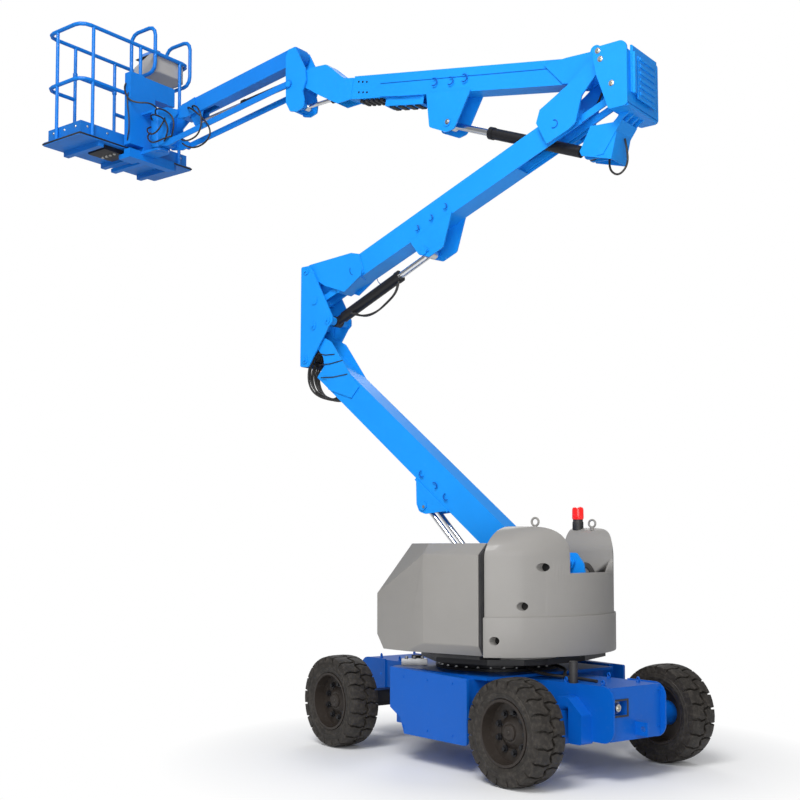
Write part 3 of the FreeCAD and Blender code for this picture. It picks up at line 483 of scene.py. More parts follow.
        base = as_object(self)
        tools = []
        for cutter, operation in cutters:
            tool = as_object(cutter)
            modifier = base.modifiers.new("carve", "BOOLEAN")
            modifier.object = tool
            modifier.operation = operation
            modifier.solver = "EXACT"
            tools.append(tool)
        bpy.context.view_layer.update()
        evaluated = base.evaluated_get(bpy.context.evaluated_depsgraph_get())
        data = bpy.data.meshes.new_from_object(evaluated)
        for used in [base, *tools]:
            bpy.data.objects.remove(used)
        self.mesh = bmesh.new()
        self.mesh.from_mesh(data)
        bpy.data.meshes.remove(data)
        return self

    def mirror_over(self):
        """The shape turned over to the other side of the frame's y = 0 plane."""
        for vert in self.mesh.verts:
            vert.co.y = -vert.co.y
        bmesh.ops.reverse_faces(self.mesh, faces=self.mesh.faces[:])
        return self

    def mirrored(self):
        """The same again on the other side of the frame's y = 0 plane."""
        drawn = self.mesh.verts[:] + self.mesh.edges[:] + self.mesh.faces[:]
        copy = bmesh.ops.duplicate(self.mesh, geom=drawn)
        faces = [g for g in copy["geom"] if isinstance(g, bmesh.types.BMFace)]
        for vert in (g for g in copy["geom"] if isinstance(g, bmesh.types.BMVert)):
            vert.co.y = -vert.co.y
        bmesh.ops.reverse_faces(self.mesh, faces=faces)
        return self

    def finish(self, name, body, material, slot=None, smooth=30.0):
        self.mesh.transform(self.place)
        data = bpy.data.meshes.new(name)
        self.mesh.to_mesh(data)
        self.mesh.free()
        return finished(name, data, body, material, smooth)


def finished(name, data, body, material, smooth=30.0):
    piece = bpy.data.objects.new(name, data)
    bpy.context.scene.collection.objects.link(piece)
    data.materials.clear()
    data.materials.append(MATERIALS[material])
    if smooth:
        data.shade_smooth()
        data.set_sharp_from_angle(angle=math.radians(smooth))
    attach(piece, body)
    return piece


# Geometry node trees


def new_tree(name, inputs):
    tree = bpy.data.node_groups.new(name, "GeometryNodeTree")
    tree.interface.new_socket("Geometry", in_out="INPUT", socket_type="NodeSocketGeometry")
    for label, kind, default in inputs:
        socket = tree.interface.new_socket(label, in_out="INPUT", socket_type=kind)
        if default is not None:
            socket.default_value = default
    tree.interface.new_socket("Geometry", in_out="OUTPUT", socket_type="NodeSocketGeometry")
    return tree


def add_node(tree, kind, settings=None, **values):
    node = tree.nodes.new(kind)
    for key, value in (settings or {}).items():
        setattr(node, key, value)
    for key, value in values.items():
        socket = node.inputs[key.replace("_", " ")]
        if isinstance(value, bpy.types.NodeSocket):
            tree.links.new(value, socket)
        else:
            socket.default_value = value
    return node


def product(tree, first, second, operation="MULTIPLY"):
    """Output of a Math node on two sockets or numbers."""
    maths = tree.nodes.new("ShaderNodeMath")
    maths.operation = operation
    for place, value in zip(maths.inputs, (first, second)):
        if isinstance(value, bpy.types.NodeSocket):
            tree.links.new(value, place)
        else:
            place.default_value = value
    return maths.outputs[0]


def close_tree(tree, geometry, material):
    real = add_node(tree, "GeometryNodeRealizeInstances", Geometry=geometry)
    coloured = add_node(tree, "GeometryNodeSetMaterial", Geometry=real.outputs[0], Material=material)
    end = tree.nodes.new("NodeGroupOutput")
    tree.links.new(coloured.outputs[0], end.inputs[0])


def fastener_tree():
    """A washer and a six sided head on each point, turned to the point's facing."""
    tree = new_tree("fasteners", [("Radius", "NodeSocketFloat", 0.01), ("Height", "NodeSocketFloat", 0.007),
                                  ("Sides", "NodeSocketInt", 6), ("Material", "NodeSocketMaterial", None)])
    start = tree.nodes.new("NodeGroupInput").outputs
    facing = add_node(tree, "GeometryNodeInputNamedAttribute", {"data_type": "FLOAT_VECTOR"}, Name="facing")
    turn = add_node(tree, "FunctionNodeAlignRotationToVector", {"axis": "Z"}, Vector=facing.outputs[0])

    washer = add_node(tree, "GeometryNodeMeshCylinder", Vertices=16,
                      Radius=product(tree, start["Radius"], 1.55), Depth=product(tree, start["Height"], 0.4))
    head = add_node(tree, "GeometryNodeMeshCylinder", Vertices=start["Sides"], Radius=start["Radius"],
                    Depth=start["Height"])
    above = add_node(tree, "ShaderNodeCombineXYZ", Z=product(tree, start["Height"], 0.6))
    raised = add_node(tree, "GeometryNodeTransform", Geometry=head.outputs[0], Translation=above.outputs[0])
    joined = add_node(tree, "GeometryNodeJoinGeometry", Geometry=washer.outputs[0])
    tree.links.new(raised.outputs[0], joined.inputs[0])
    placed = add_node(tree, "GeometryNodeInstanceOnPoints", Points=start["Geometry"],
                      Instance=joined.outputs[0], Rotation=turn.outputs[0])
    close_tree(tree, placed.outputs[0], start["Material"])
    return tree


def hose_tree():
    """A round hose of one radius along each route."""
    tree = new_tree("hoses", [("Radius", "NodeSocketFloat", 0.01), ("Sides", "NodeSocketInt", 12),
                              ("Material", "NodeSocketMaterial", None)])
    start = tree.nodes.new("NodeGroupInput").outputs
    ring = add_node(tree, "GeometryNodeCurvePrimitiveCircle", Resolution=start["Sides"],
                    Radius=start["Radius"])
    tube = add_node(tree, "GeometryNodeCurveToMesh", Curve=start["Geometry"], Profile_Curve=ring.outputs[0])
    tube.inputs["Fill Caps"].default_value = True
    close_tree(tree, tube.outputs[0], start["Material"])
    return tree


def tread_tree():
    """The geometry turned round the wheel's axle in equal steps."""
    tree = new_tree("tread", [("Count", "NodeSocketInt", 20), ("Material", "NodeSocketMaterial", None)])
    start = tree.nodes.new("NodeGroupInput").outputs
    points = add_node(tree, "GeometryNodePoints", Count=start["Count"])
    step = product(tree, 2 * math.pi, start["Count"], "DIVIDE")
    index = tree.nodes.new("GeometryNodeInputIndex").outputs[0]
    turn = add_node(tree, "ShaderNodeCombineXYZ", Y=product(tree, index, step))
    placed = add_node(tree, "GeometryNodeInstanceOnPoints", Points=points.outputs[0],
                      Instance=start["Geometry"], Rotation=turn.outputs[0])
    close_tree(tree, placed.outputs[0], start["Material"])
    return tree


TREES = {}


def grown(source, tree_name, values, material):
    """Plain mesh of what one of the trees makes of source, which is removed."""
    tree = TREES[tree_name]
    modifier = source.modifiers.new("made", "NODES")
    modifier.node_group = tree
    values = {**values, "Material": MATERIALS[material]}
    for item in tree.interface.items_tree:
        if item.in_out == "INPUT" and item.name in values:
            modifier[item.identifier] = values[item.name]
    source.update_tag()
    bpy.context.view_layer.update()
    evaluated = source.evaluated_get(bpy.context.evaluated_depsgraph_get())
    data = bpy.data.meshes.new_from_object(evaluated)
    bpy.data.objects.remove(source)
    return data


def through_tree(source, tree_name, values, name, body, material, smooth=30.0):
    """Runs source through one of the trees and puts the result on body as a piece."""
    data = grown(source, tree_name, values, material)
    data.name = name
    return finished(name, data, body, material, smooth)


def fasteners(name, body, place, rows, radius, height=None, sides=6, material="zinc"):
    """Bolt heads at rows of position, facing in one frame."""
    data = bpy.data.meshes.new(name + "_points")
    data.from_pydata([place @ Vector(at) for at, _ in rows], [], [])
    facing = data.attributes.new("facing", "FLOAT_VECTOR", "POINT")
    turned = place.to_3x3()
    for item, (_, direction) in zip(facing.data, rows):
        item.vector = turned @ Vector(direction)
    source = bpy.data.objects.new(name + "_points", data)
    bpy.context.scene.collection.objects.link(source)
    values = {"Radius": radius, "Height": height or radius * 0.8, "Sides": sides}
    return through_tree(source, "fasteners", values, name, body, material)


def hoses(name, body, place, routes, radius, material="hose"):
    """Hoses that follow a smooth line near the points of each route."""
    curve = bpy.data.curves.new(name + "_routes", "CURVE")
    curve.dimensions = "3D"
    curve.resolution_u = 8
    for route in routes:
        spline = curve.splines.new("NURBS")
        spline.points.add(len(route) - 1)
        for point, at in zip(spline.points, route):
            point.co = (*(place @ Vector(at)), 1.0)
        spline.order_u = 3
        spline.use_endpoint_u = True
    source = bpy.data.objects.new(name + "_routes", curve)
    bpy.context.scene.collection.objects.link(source)
    return through_tree(source, "hoses", {"Radius": radius, "Sides": 12}, name, body, material, 60.0)


# Settings


class PaintSettings(bpy.types.PropertyGroup):
    boom_blue: FloatVectorProperty(name="Boom blue", description="Paint of the arms, boom and platform",
                                   subtype="COLOR", default=(0.008, 0.275, 0.84), min=0.0, max=1.0)
    platform_blue: FloatVectorProperty(name="Platform blue", description="Paint of the jib and the platform",
                                       subtype="COLOR", default=(0.006, 0.19, 0.68), min=0.0, max=1.0)
    chassis_blue: FloatVectorProperty(name="Chassis blue", description="Paint of the chassis and axles",
                                      subtype="COLOR", default=(0.001, 0.098, 0.47), min=0.0, max=1.0)
    hood_grey: FloatVectorProperty(name="Hood grey", description="Paint of the hoods and counterweight",
                                   subtype="COLOR", default=(0.27, 0.26, 0.245), min=0.0, max=1.0)
    rubber: FloatVectorProperty(name="Rubber", description="Colour of the tyres",
                                subtype="COLOR", default=(0.019, 0.016, 0.013), min=0.0, max=1.0)
    rim: FloatVectorProperty(name="Rim", description="Paint of the wheel rims",
                             subtype="COLOR", default=(0.03, 0.024, 0.02), min=0.0, max=1.0)
    lamp: FloatVectorProperty(name="Beacon", description="Colour of the beacon lens",
                              subtype="COLOR", default=(0.85, 0.012, 0.01), min=0.0, max=1.0)


class SizeSettings(bpy.types.PropertyGroup):
    bolt: FloatProperty(name="Bolt head", description="Radius across the corners of a structural bolt head",
                        default=0.011, min=0.004, max=0.03, unit="LENGTH")
    hose: FloatProperty(name="Hose", description="Radius of a hydraulic hose",
                        default=0.009, min=0.003, max=0.03, unit="LENGTH")
    wheel_nuts: IntProperty(name="Wheel nuts", description="Nuts on each wheel", default=9, min=4, max=12)
    beacon: FloatProperty(name="Beacon radius", description="Radius of the beacon lens",
                          default=0.045, min=0.02, max=0.1, unit="LENGTH")


MATERIALS = {}

NODE_FINISH = {
    "frame_blue_with_painted_shade": "turret_frame",
    "boom_blue": ("lower_arm mid_pivot upper_arm upper_link knuckle_housing boom_outer boom_inner "
                  "jib_bracket"),
    "platform_blue": "jib_beam jib_links jib_end platform_mount platform_rails platform_drop_bar",
    "chassis_blue": "chassis_frame chassis_side_boxes steered_axle knuckle_left knuckle_right",
    "hood_grey": "counterweight hood_left hood_right",
    "rubber": "tyre_front_left tyre_front_right tyre_rear_left tyre_rear_right",
    "rim_paint": "rim_front_left rim_front_right rim_rear_left rim_rear_right",
    "black_paint": ("slew_ring fixed_axle lower_link lower_lift_barrels upper_lift_barrel boom_lift_barrel "
                    "level_barrel jib_lift_barrel"),
    "chrome": "steer_rod lower_lift_rods upper_lift_rod boom_lift_rod level_rod jib_lift_rod",
    "plastic": "batteries",
    "floor_blue": "platform_floor",
    "console_grey": "platform_console",
}


class BOOMLIFT_OT_finishes(bpy.types.Operator):
    """Make the finishes and give each part of the frame its own"""

    bl_idname = "boomlift.finishes"
    bl_label = "Finishes"

    def execute(self, context):
        colours = context.scene.boomlift_paint
        TREES.update({"fasteners": fastener_tree(), "hoses": hose_tree(), "tread": tread_tree()})
        MATERIALS.update({
            "boom_blue": paint("boom_blue", colours.boom_blue, 0.4, 0.12),
            # The turret frame goes near black below 0.79 m as painted shade under the hoods.
            "frame_blue_with_painted_shade": paint("frame_blue_with_painted_shade", colours.boom_blue, 0.4, 0.12, 0.25, 0.79),
            "chassis_blue": paint("chassis_blue", colours.chassis_blue, 0.4, 0.1, 0.3),
            "hood_grey": paint("hood_grey", colours.hood_grey, 0.42, 0.15),
            "black_paint": paint("black_paint", (0.012, 0.012, 0.014), 0.4, 0.2, 0.3),
            "rim_paint": paint("rim_paint", colours.rim, 0.45, 0.1, 0.5),
            "console_grey": paint("console_grey", (0.42, 0.41, 0.4), 0.45, 0.1),
            "pale_blue": paint("pale_blue", (0.12, 0.3, 0.78), 0.4, 0.2),
            "platform_blue": paint("platform_blue", colours.platform_blue, 0.4, 0.12),
            "floor_blue": tread_plate("floor_blue", colours.platform_blue),
            "rubber": tyre_rubber("rubber", colours.rubber),
            "chrome": chrome_rod("chrome", (0.86, 0.87, 0.88)),
            "zinc": bare_metal("zinc", (0.72, 0.7, 0.64), 0.32),
            "steel": bare_metal("steel", (0.5, 0.5, 0.5), 0.4),
            "plastic": moulded("plastic", (0.02, 0.02, 0.022), 0.5),
            "hose": moulded("hose", (0.012, 0.011, 0.011), 0.48, 900.0, 0.3, 0.0002),
            # Near-black material of the painted shade in the counterweight's holes.
            "hole_shade": moulded("hole_shade", (0.004, 0.004, 0.004), 0.9),
            "lens_red": lens("lens_red", colours.lamp),
        })
        for finish, names in NODE_FINISH.items():
            for name in names.split():
                data = frame["nodes"][name].data
                data.materials.clear()
                data.materials.append(MATERIALS[finish])
        return {"FINISHED"}


CORNERS = ("front_left", "front_right", "rear_left", "rear_right")
TYRE_R = 0.357
LUGS_PER_ROW = 20
NUT_CIRCLE = 0.132
# Distance of each row from the tyre's middle, then the row's three points round the tyre
LUG_ROWS = ((0.118, (-0.044, 0.004, 0.052)), (0.1, (-0.045, 0.003, 0.051)), (0.08, (-0.044, 0.004, 0.052)),
            (0.042, (-0.030, 0.018, 0.066)), (-0.003, (-0.040, 0.008, 0.056)))


def wheel_place(corner):
    """Frame at the wheel's centre with y towards the outside."""
    centre = joint_point("wheel_" + corner + "_spin")
    turn = Matrix.Identity(4) if centre.y > 0 else Matrix.Rotation(math.pi, 4, "Z")
    return Matrix.Translation(centre) @ turn


def add_lug(shape, angle, flip):
    """One tread block on the shoulder and half the tread, its inner end notched."""
    grids = []
    for depth in (0.0, 1.0):
        rows = []
        for y, steps in LUG_ROWS:
            row = []
            for k, s in enumerate(steps):
                across = 0.021 if y < 0 and k == 1 else y
                top = TYRE_R - 0.012 * (max(across, 0.0) / 0.118) ** 3
                radius = top - depth * (0.024 + 0.022 * max(0.0, across - 0.09) / 0.028)
                side = across + 0.002 * depth * (1.0 if y > 0.117 else 0.0)
                spread = 1.0 + 0.05 * depth
                a = angle + (flip * ((s - 0.008) * spread + 0.008)) / TYRE_R
                row.append(shape.mesh.verts.new((radius * math.cos(a), flip * side, radius * math.sin(a))))
            rows.append(row)
        grids.append(rows)
    faces = []
    for rows in grids:
        for first, second in zip(rows, rows[1:]):
            for k in range(2):
                faces.append(shape.mesh.faces.new((first[k], first[k + 1], second[k + 1], second[k])))
    count = len(LUG_ROWS)
    border = [(i, 0) for i in range(count)] + [(count - 1, 1)]
    border += [(i, 2) for i in reversed(range(count))] + [(0, 1)]
    rim = set()
    for (i, k), (m, n) in zip(border, border[1:] + border[:1]):
        top = (grids[0][i][k], grids[0][m][n])
        faces.append(shape.mesh.faces.new((*top, grids[1][m][n], grids[1][i][k])))
        rim.add(shape.mesh.edges.get(top))
    bmesh.ops.recalc_face_normals(shape.mesh, faces=faces)
    return list(rim)


def tread_blocks():
    """Mesh of all the tread blocks of a tyre, in the wheel's own frame."""
    pair = Shape()
    rim = add_lug(pair, 0.0, 1.0) + add_lug(pair, math.pi / LUGS_PER_ROW, -1.0)
    round_edges(pair.mesh, rim, 0.003)
    data = bpy.data.meshes.new("tread_blocks")
    pair.mesh.to_mesh(data)
    pair.mesh.free()
    source = bpy.data.objects.new("tread_blocks", data)
    bpy.context.scene.collection.objects.link(source)
    return grown(source, "tread", {"Count": LUGS_PER_ROW}, "rubber")


class BOOMLIFT_OT_wheels(bpy.types.Operator):
    """Tyres with their tread blocks, wheel nuts, hub caps and valve stems"""

    bl_idname = "boomlift.wheels"
    bl_label = "Wheels"

    def execute(self, context):
        side = [(0.104, 0.222), (0.110, 0.226), (0.114, 0.236), (0.1175, 0.244), (0.1175, 0.248),
                (0.1195, 0.2505), (0.1205, 0.262), (0.1222, 0.2635), (0.1222, 0.2665), (0.1212, 0.268),
                (0.121, 0.289), (0.119, 0.291), (0.118, 0.303), (0.112, 0.318), (0.098, 0.332),
                (0.06, 0.3365), (0.0, 0.338)]
        profile = side + [(-along, radius) for along, radius in reversed(side[:-1])]
        cap_profile = [(0.045, 0.0), (0.045, 0.058), (0.06, 0.055), (0.068, 0.044), (0.068, 0.016),
                       (0.072, 0.013), (0.072, 0.0)]
        blocks = tread_blocks()
        nuts = turns(context.scene.boomlift_size.wheel_nuts, 0.5)
        for corner in CORNERS:
            body = "wheel_" + corner
            place = wheel_place(corner)
            tyre = Shape(place)
            tyre.lathe(profile, (0, 0, 0), Y, 96, True)
            tyre.mesh.from_mesh(blocks)
            piece = tyre.finish("tyre_tread_" + corner, body, "rubber", "tyre", 35.0)
            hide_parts("tyre_" + corner)
            rows = [((NUT_CIRCLE * math.cos(a), 0.03, NUT_CIRCLE * math.sin(a)), (0, 1, 0)) for a in nuts]
            fasteners("wheel_nuts_" + corner, body, place, rows, 0.0155, 0.02, 6, "black_paint")
            cap = Shape(place)
            cap.lathe(cap_profile, (0, 0, 0), Y, 32)
            cap.rod((0.2, 0.03, 0), (0.2, 0.062, 0), 0.004, 10)
            cap.finish("hub_cap_" + corner, body, "rim_paint", "rim")
        bpy.data.meshes.remove(blocks)
        return {"FINISHED"}


def hood_cuts(inset):
    """Planes of a left hood as point and facing, drawn in by inset."""
    crease = Vector((0.0941, 0.83, 1.52))
    ridge = Vector((0.119, 0.72, 1.603))
    nose = Vector((0.621, 0.70, 1.224))
    slope = (ridge - crease).cross(nose - crease)
    chamfer = Vector((0.0, 0.083, 0.11))
    cuts = [(nose, Vector((0.13, 0.527, 0.0))), (nose, Vector((0.374, -0.081, 0.0))),
            (crease, slope if slope.z > 0 else -slope), (crease, chamfer),
            (Vector((0.0, 0.83, 0.885)), Vector((0.0, 0.07, -0.046))),
            (Vector((0.61, 0.70, 0.905)), Vector((0.075, 0.02, -0.05)))]
    return [(point - inset * facing.normalized(), facing) for point, facing in cuts]


HOLES = ((-0.719, 0.518, 1.431), (-0.62, 0.633, 1.16), (-0.474, 0.748, 0.922))
HOLE_R = 0.03
CW_FRONT = -0.405
CW_LOW = 0.805
CW_TOP = 1.72
TAIL_R = 0.886
BELT_R = 0.9
SLOT = 0.318
SLOT_FRONT = -0.735
LIFT_EYE = (-0.6, 0.42)
WALL = 0.008
HINGES = (-0.33, -0.15)


def add_lobe(shape):
    """Left lobe of the counterweight, whose arched top follows the round tail."""
    z0 = 1.5
    first = math.acos(CW_FRONT / TAIL_R)
    last = math.pi - math.asin(SLOT / TAIL_R)
    steps, rises = 24, 12
    columns = []
    for i in range(steps + 1):
        t = i / steps
        a = first + (last - first) * t
        x, y = TAIL_R * math.cos(a), TAIL_R * math.sin(a)
        turn = t * math.pi / 2
        width = 0.305 * (1 - t) ** 1.2 + 0.052 * (1 - (1 - t) ** 1.2)
        column = [shape.mesh.verts.new((x, y, CW_LOW))]
        for k in range(rises + 1):
            b = k / rises * math.pi / 2
            inward = width * (1 - max(math.cos(b), 0.0) ** (2 / 1.8))
            up = (CW_TOP - z0) * math.sin(b) ** (2 / 1.8)
            at = (x + inward * math.sin(turn), y - inward * math.cos(turn), z0 + up)
            column.append(shape.mesh.verts.new(at))
        columns.append(column)
    low, high = (shape.mesh.verts.new((CW_FRONT, SLOT, z)) for z in (CW_LOW, CW_TOP))
    faces = [shape.mesh.faces.new([low, *columns[0], high]), shape.mesh.faces.new([low, *columns[-1], high]),
             shape.mesh.faces.new([high] + [column[-1] for column in columns]),
             shape.mesh.faces.new([low] + [column[0] for column in columns])]
    for near, far in zip(columns, columns[1:]):
        for k in range(rises + 1):
            faces.append(shape.mesh.faces.new((near[k], far[k], far[k + 1], near[k + 1])))
    bmesh.ops.recalc_face_normals(shape.mesh, faces=faces)
    sharp = [e for e in shape.mesh.edges if e.calc_face_angle(0.0) > math.radians(40)]
    round_edges(shape.mesh, sharp, 0.012)
    return shape


def tail_plan(radius, front, steps=60):
    """Round tail as an outline in x, y, closed by a straight line at front."""
    last = math.acos(front / radius)
    angles = [last + (2 * math.pi - 2 * last) * i / steps for i in range(steps + 1)]
    return [(radius * math.cos(a), radius * math.sin(a)) for a in angles]


class BOOMLIFT_OT_turret(bpy.types.Operator):
    """Hoods, counterweight, beacon, seals and hoses of the turret"""

    bl_idname = "boomlift.turret"
    bl_label = "Turret"

    def execute(self, context):
        sizes = context.scene.boomlift_size
        self.hoods()
        self.counterweight()
        self.beacon(sizes.beacon)
        self.seals_and_hoses(sizes.hose)
        return {"FINISHED"}

    def hoods(self):
        opening = [(-0.5, 0.7), (0.42, 0.7), (0.5, 0.93), (0.48, 1.19), (0.085, 1.45), (-0.08, 1.565),
                   (-0.5, 1.565)]
        for side in (1, -1):
            hood = Shape(TURRET).planes((-0.385, 0.338, 0.813), (0.7, 0.83, 1.6), hood_cuts(0.0), 0.009)
            inner = Shape(TURRET).planes((-0.385 + WALL, 0.338 + WALL, 0.6),
                                         (0.7 - WALL, 0.83 - WALL, 1.6 - WALL),
                                         hood_cuts(WALL))
            gap = Shape(TURRET).prism(opening, 0.32, 0.36, 0.0)
            cutters = [(inner, "DIFFERENCE"), (gap, "DIFFERENCE")]
            for x in HINGES:
                knuckle = Shape(TURRET).rod((x + 0.003, 0.326, 1.592), (x + 0.04, 0.326, 1.592), 0.008)
                tab = Shape(TURRET).block((x + 0.003, 0.3265, 1.5852), (x + 0.04, 0.342, 1.5992), 0.0)
                bore = Shape(TURRET).rod((x - 0.05, 0.326, 1.592), (x + 0.09, 0.326, 1.592), 0.0042)
                cutters += [(knuckle, "UNION"), (tab, "UNION"), (bore, "DIFFERENCE")]
            hood.carved(cutters)
            if side < 0:
                hood.mirror_over()
            name = "hood_left" if side > 0 else "hood_right"
            piece = hood.finish(name + "_shell", name, "hood_grey", "grey_paint")
            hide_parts(name)

    def counterweight(self):
        weight = add_lobe(Shape(TURRET))
        other = add_lobe(Shape(TURRET)).mirror_over()
        band = Shape(TURRET).slab(tail_plan(BELT_R, CW_FRONT), CW_LOW, 1.085, 0.009)
        wall = Shape(TURRET).slab(tail_plan(TAIL_R, SLOT_FRONT), CW_LOW, 1.385, 0.008)
        slot = Shape(TURRET).block((SLOT_FRONT, -SLOT, 0.7), (-0.3, SLOT, 1.2), 0.0)
        arch = [(SLOT, 0.7), (SLOT, 1.53)]
        for k in range(1, 11):
            a = k / 10 * math.pi / 2
            arch.append((SLOT + 0.16 * (1 - math.cos(a) ** 1.1), 1.53 + 0.191 * math.sin(a) ** 1.1))
        arch += [(1.0, 1.721), (1.0, 0.7)]
        weight.carved([(Shape(TURRET).length(arch, -1.0, -0.3, 0.0), "INTERSECT")])
        other.carved([(Shape(TURRET).length(arch, -1.0, -0.3, 0.0).mirror_over(), "INTERSECT")])
        cutters = [(other, "UNION"), (band, "UNION"), (slot, "DIFFERENCE"), (wall, "UNION")]
        for x, y, z in HOLES:
            for side in (1, -1):
                hole = Shape(TURRET).rod((x, side * (y - 0.07), z), (x, side * 0.9, z), HOLE_R, 32)
                cutters.append((hole, "DIFFERENCE"))
        weight.carved(cutters)
        feet = [(-0.69, 0.293), (-0.69, 0.4), (-0.59, 0.56), (-0.445, 0.64), (-0.445, 0.293)]
        for side in (1, -1):
            weight.slab([(x, side * y) for x, y in feet], 0.785, CW_LOW + 0.002, 0.0)
            x, y = LIFT_EYE[0], side * LIFT_EYE[1]
            weight.rod((x, y, CW_TOP - 0.02), (x, y, CW_TOP + 0.01), 0.015)
            weight.ring((x, y, CW_TOP + 0.032), Y, 0.028, 0.008)
        piece = weight.finish("counterweight_casting", "turret", "hood_grey", "grey_paint", 32.0)
        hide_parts("counterweight")

    def beacon(self, r):
        at = (-0.46, -0.45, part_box("counterweight")[1].z - 0.052)
        base = Shape(TURRET)
        base.lathe([(-0.03, 0.0), (-0.03, r * 0.95), (0.028, r * 0.95), (0.034, r * 0.86), (0.05, r * 0.86),
                    (0.05, 0.0)], at, Z, 32)
        base.finish("beacon_base", "turret", "plastic")
        dome = Shape(TURRET)
        dome.lathe([(0.05, 0.0), (0.05, r * 0.9), (0.06, r), (0.13, r * 0.97), (0.142, r * 0.86),
                    (0.148, r * 0.5), (0.15, 0.0)], at, Z, 40)
        dome.finish("beacon_lens", "turret", "lens_red")

    def seals_and_hoses(self, hose):
        seal = Shape(TURRET)
        edge = [(0.34, 0.817), (0.782, 0.817), (0.827, 0.887), (0.827, 1.518), (0.721, 1.597), (0.34, 1.597)]
        seal.length(edge, -0.403, -0.387, 0.002)
        seal.mirrored()
        seal.finish("hood_seals", "turret", "plastic")
        # Near-black discs at the bottom of the counterweight's holes: painted shade inside the holes.
        shade_discs = Shape(TURRET)
        for x, y, z in HOLES:
            shade_discs.rod((x, y - 0.0698, z), (x, y - 0.04, z), HOLE_R - 0.0004, 24)
        shade_discs.mirrored()
        shade_discs.finish("hole_shade_discs", "turret", "hole_shade")
        rows = both_sides([(-0.585, 0.147, 1.457), (-0.493, 0.147, 1.171), (-0.3, 0.147, 0.88)])
        fasteners("root_pin_bolts", "turret", TURRET, rows, 0.016)
        routes = [[(-0.56, -0.15 - 0.02 * i, 1.2 + 0.04 * i), (-0.6, -0.17 - 0.02 * i, 1.39 + 0.02 * i),
                   (-0.66, -0.2 - 0.02 * i, 1.44 + 0.01 * i), (-0.715, -0.22 - 0.02 * i, 1.36),
                   (-0.725, -0.22 - 0.02 * i, 1.15), (-0.72, -0.21 - 0.02 * i, 0.9)] for i in range(3)]
        hoses("turret_hoses", "turret", TURRET, routes, hose)


# Half width of the arms and of the boom where the weld beads lie
ARM_FACE = 0.103
BOOM_FACE = 0.079
DECK = 0.664


class BOOMLIFT_OT_chassis(bpy.types.Operator):
    """Ring flange, posts, lashing eyes, charger socket and bolts of the chassis"""

    bl_idname = "boomlift.chassis"
    bl_label = "Chassis fittings"

    def execute(self, context):
        self.ring()
        self.deck()
        self.socket()
        self.bolts()
        return {"FINISHED"}

    def ring(self):
        flange = Shape(CHASSIS)
        profile = [(0.0, 0.42), (0.0, 0.472), (0.018, 0.472), (0.022, 0.468), (0.022, 0.42)]
        flange.lathe(profile, (0, 0, 0.665), Z, 72, True)
        flange.finish("ring_flange", "chassis", "black_paint")
        rows = [((0.452 * math.cos(a), 0.452 * math.sin(a), 0.689), (0, 0, 1)) for a in turns(30)]
        fasteners("ring_bolts", "chassis", CHASSIS, rows, 0.009, None, 6, "steel")

    def deck(self):
        eyes = Shape(CHASSIS)
        for x, y in ((-0.95, 0.215), (-1.257, 0.175), (0.95, 0.215), (1.257, 0.175)):
            for side in (1, -1):
                eyes.ring((x, side * y, 0.658), (0.3, 1.0, 0.0), 0.016, 0.0055, 24)
                eyes.rod((x, side * y, 0.639), (x, side * y, 0.645), 0.016, 20)
        eyes.finish("lashing_eyes", "chassis", "chassis_blue", "blue_paint")
        posts = Shape(CHASSIS)
        profile = [(0.0, 0.0), (0.0, 0.03), (0.146, 0.03), (0.15, 0.026), (0.15, 0.0)]
        posts.lathe(profile, (-1.02, 0.215, 0.64), Z, 28)
        posts.block((0.435, 0.387, DECK), (0.497, 0.447, 0.735), 0.004)
        posts.finish("deck_posts", "chassis", "plastic")
        turned = Matrix.Rotation(math.radians(52.7), 4, "Z")
        valve = Shape(Matrix.Translation((0.42, 0.478, DECK)) @ turned)
        valve.block((-0.1, -0.03, 0.0), (0.1, 0.03, 0.05), 0.004)
        for x in (-0.06, 0.0, 0.06):
            valve.rod((x, 0, 0.048), (x, 0, 0.068), 0.012, 16)
        valve.finish("deck_valve", "chassis", "steel")
        routes = [[(-0.44, 0.12, 0.7), (-0.52, 0.16, 0.7), (-0.606, 0.192, 0.685), (-0.72, 0.17, 0.668),
                   (-0.84, 0.105, 0.658), (-0.98, 0.07, 0.654), (-1.12, 0.09, 0.652)],
                  [(-0.43, -0.16, 0.7), (-0.52, -0.14, 0.695), (-0.629, -0.107, 0.68), (-0.74, 0.02, 0.668),
                   (-0.82, 0.1, 0.681), (-0.93, 0.19, 0.656), (-1.03, 0.205, 0.652)]]
        hoses("deck_hoses", "chassis", CHASSIS, routes, 0.0115)

    def socket(self):
        frame_edge = Shape(CHASSIS)
        for y0, y1, z0, z1 in ((0.078, 0.09, 0.443, 0.562), (0.23, 0.242, 0.443, 0.562),
                               (0.09, 0.23, 0.443, 0.455), (0.09, 0.23, 0.55, 0.562)):
            frame_edge.block((-1.396, y0, z0), (-1.389, y1, z1), 0.001)
        frame_edge.finish("socket_frame", "chassis", "plastic")
        plug = Shape(CHASSIS)
        plug.block((-1.345, 0.115, 0.462), (-1.329, 0.205, 0.543), 0.003)
        plug.lathe([(0.0, 0.0), (0.0, 0.032), (0.012, 0.034), (0.018, 0.026), (0.04, 0.025), (0.04, 0.018),
                    (0.02, 0.016), (0.02, 0.0)], (-1.34, 0.16, 0.503), (-1, 0, 0), 28)
        plug.finish("charger_socket", "chassis", "zinc")

    def bolts(self):
        side_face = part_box("chassis_side_boxes")[1].y
        rows = both_sides([(x, side_face, 0.62) for x in (-0.42, -0.14, 0.14, 0.42)])
        rows += both_sides([(x, side_face, 0.26) for x in (-0.42, -0.14, 0.14)])
        for side in (1, -1):
            rows += [((end * 1.391, side * 0.225, z), (end, 0, 0)) for end in (1, -1) for z in (0.36, 0.6)]
        fasteners("chassis_bolts", "chassis", CHASSIS, rows, 0.007, 0.005, 6, "chassis_blue")


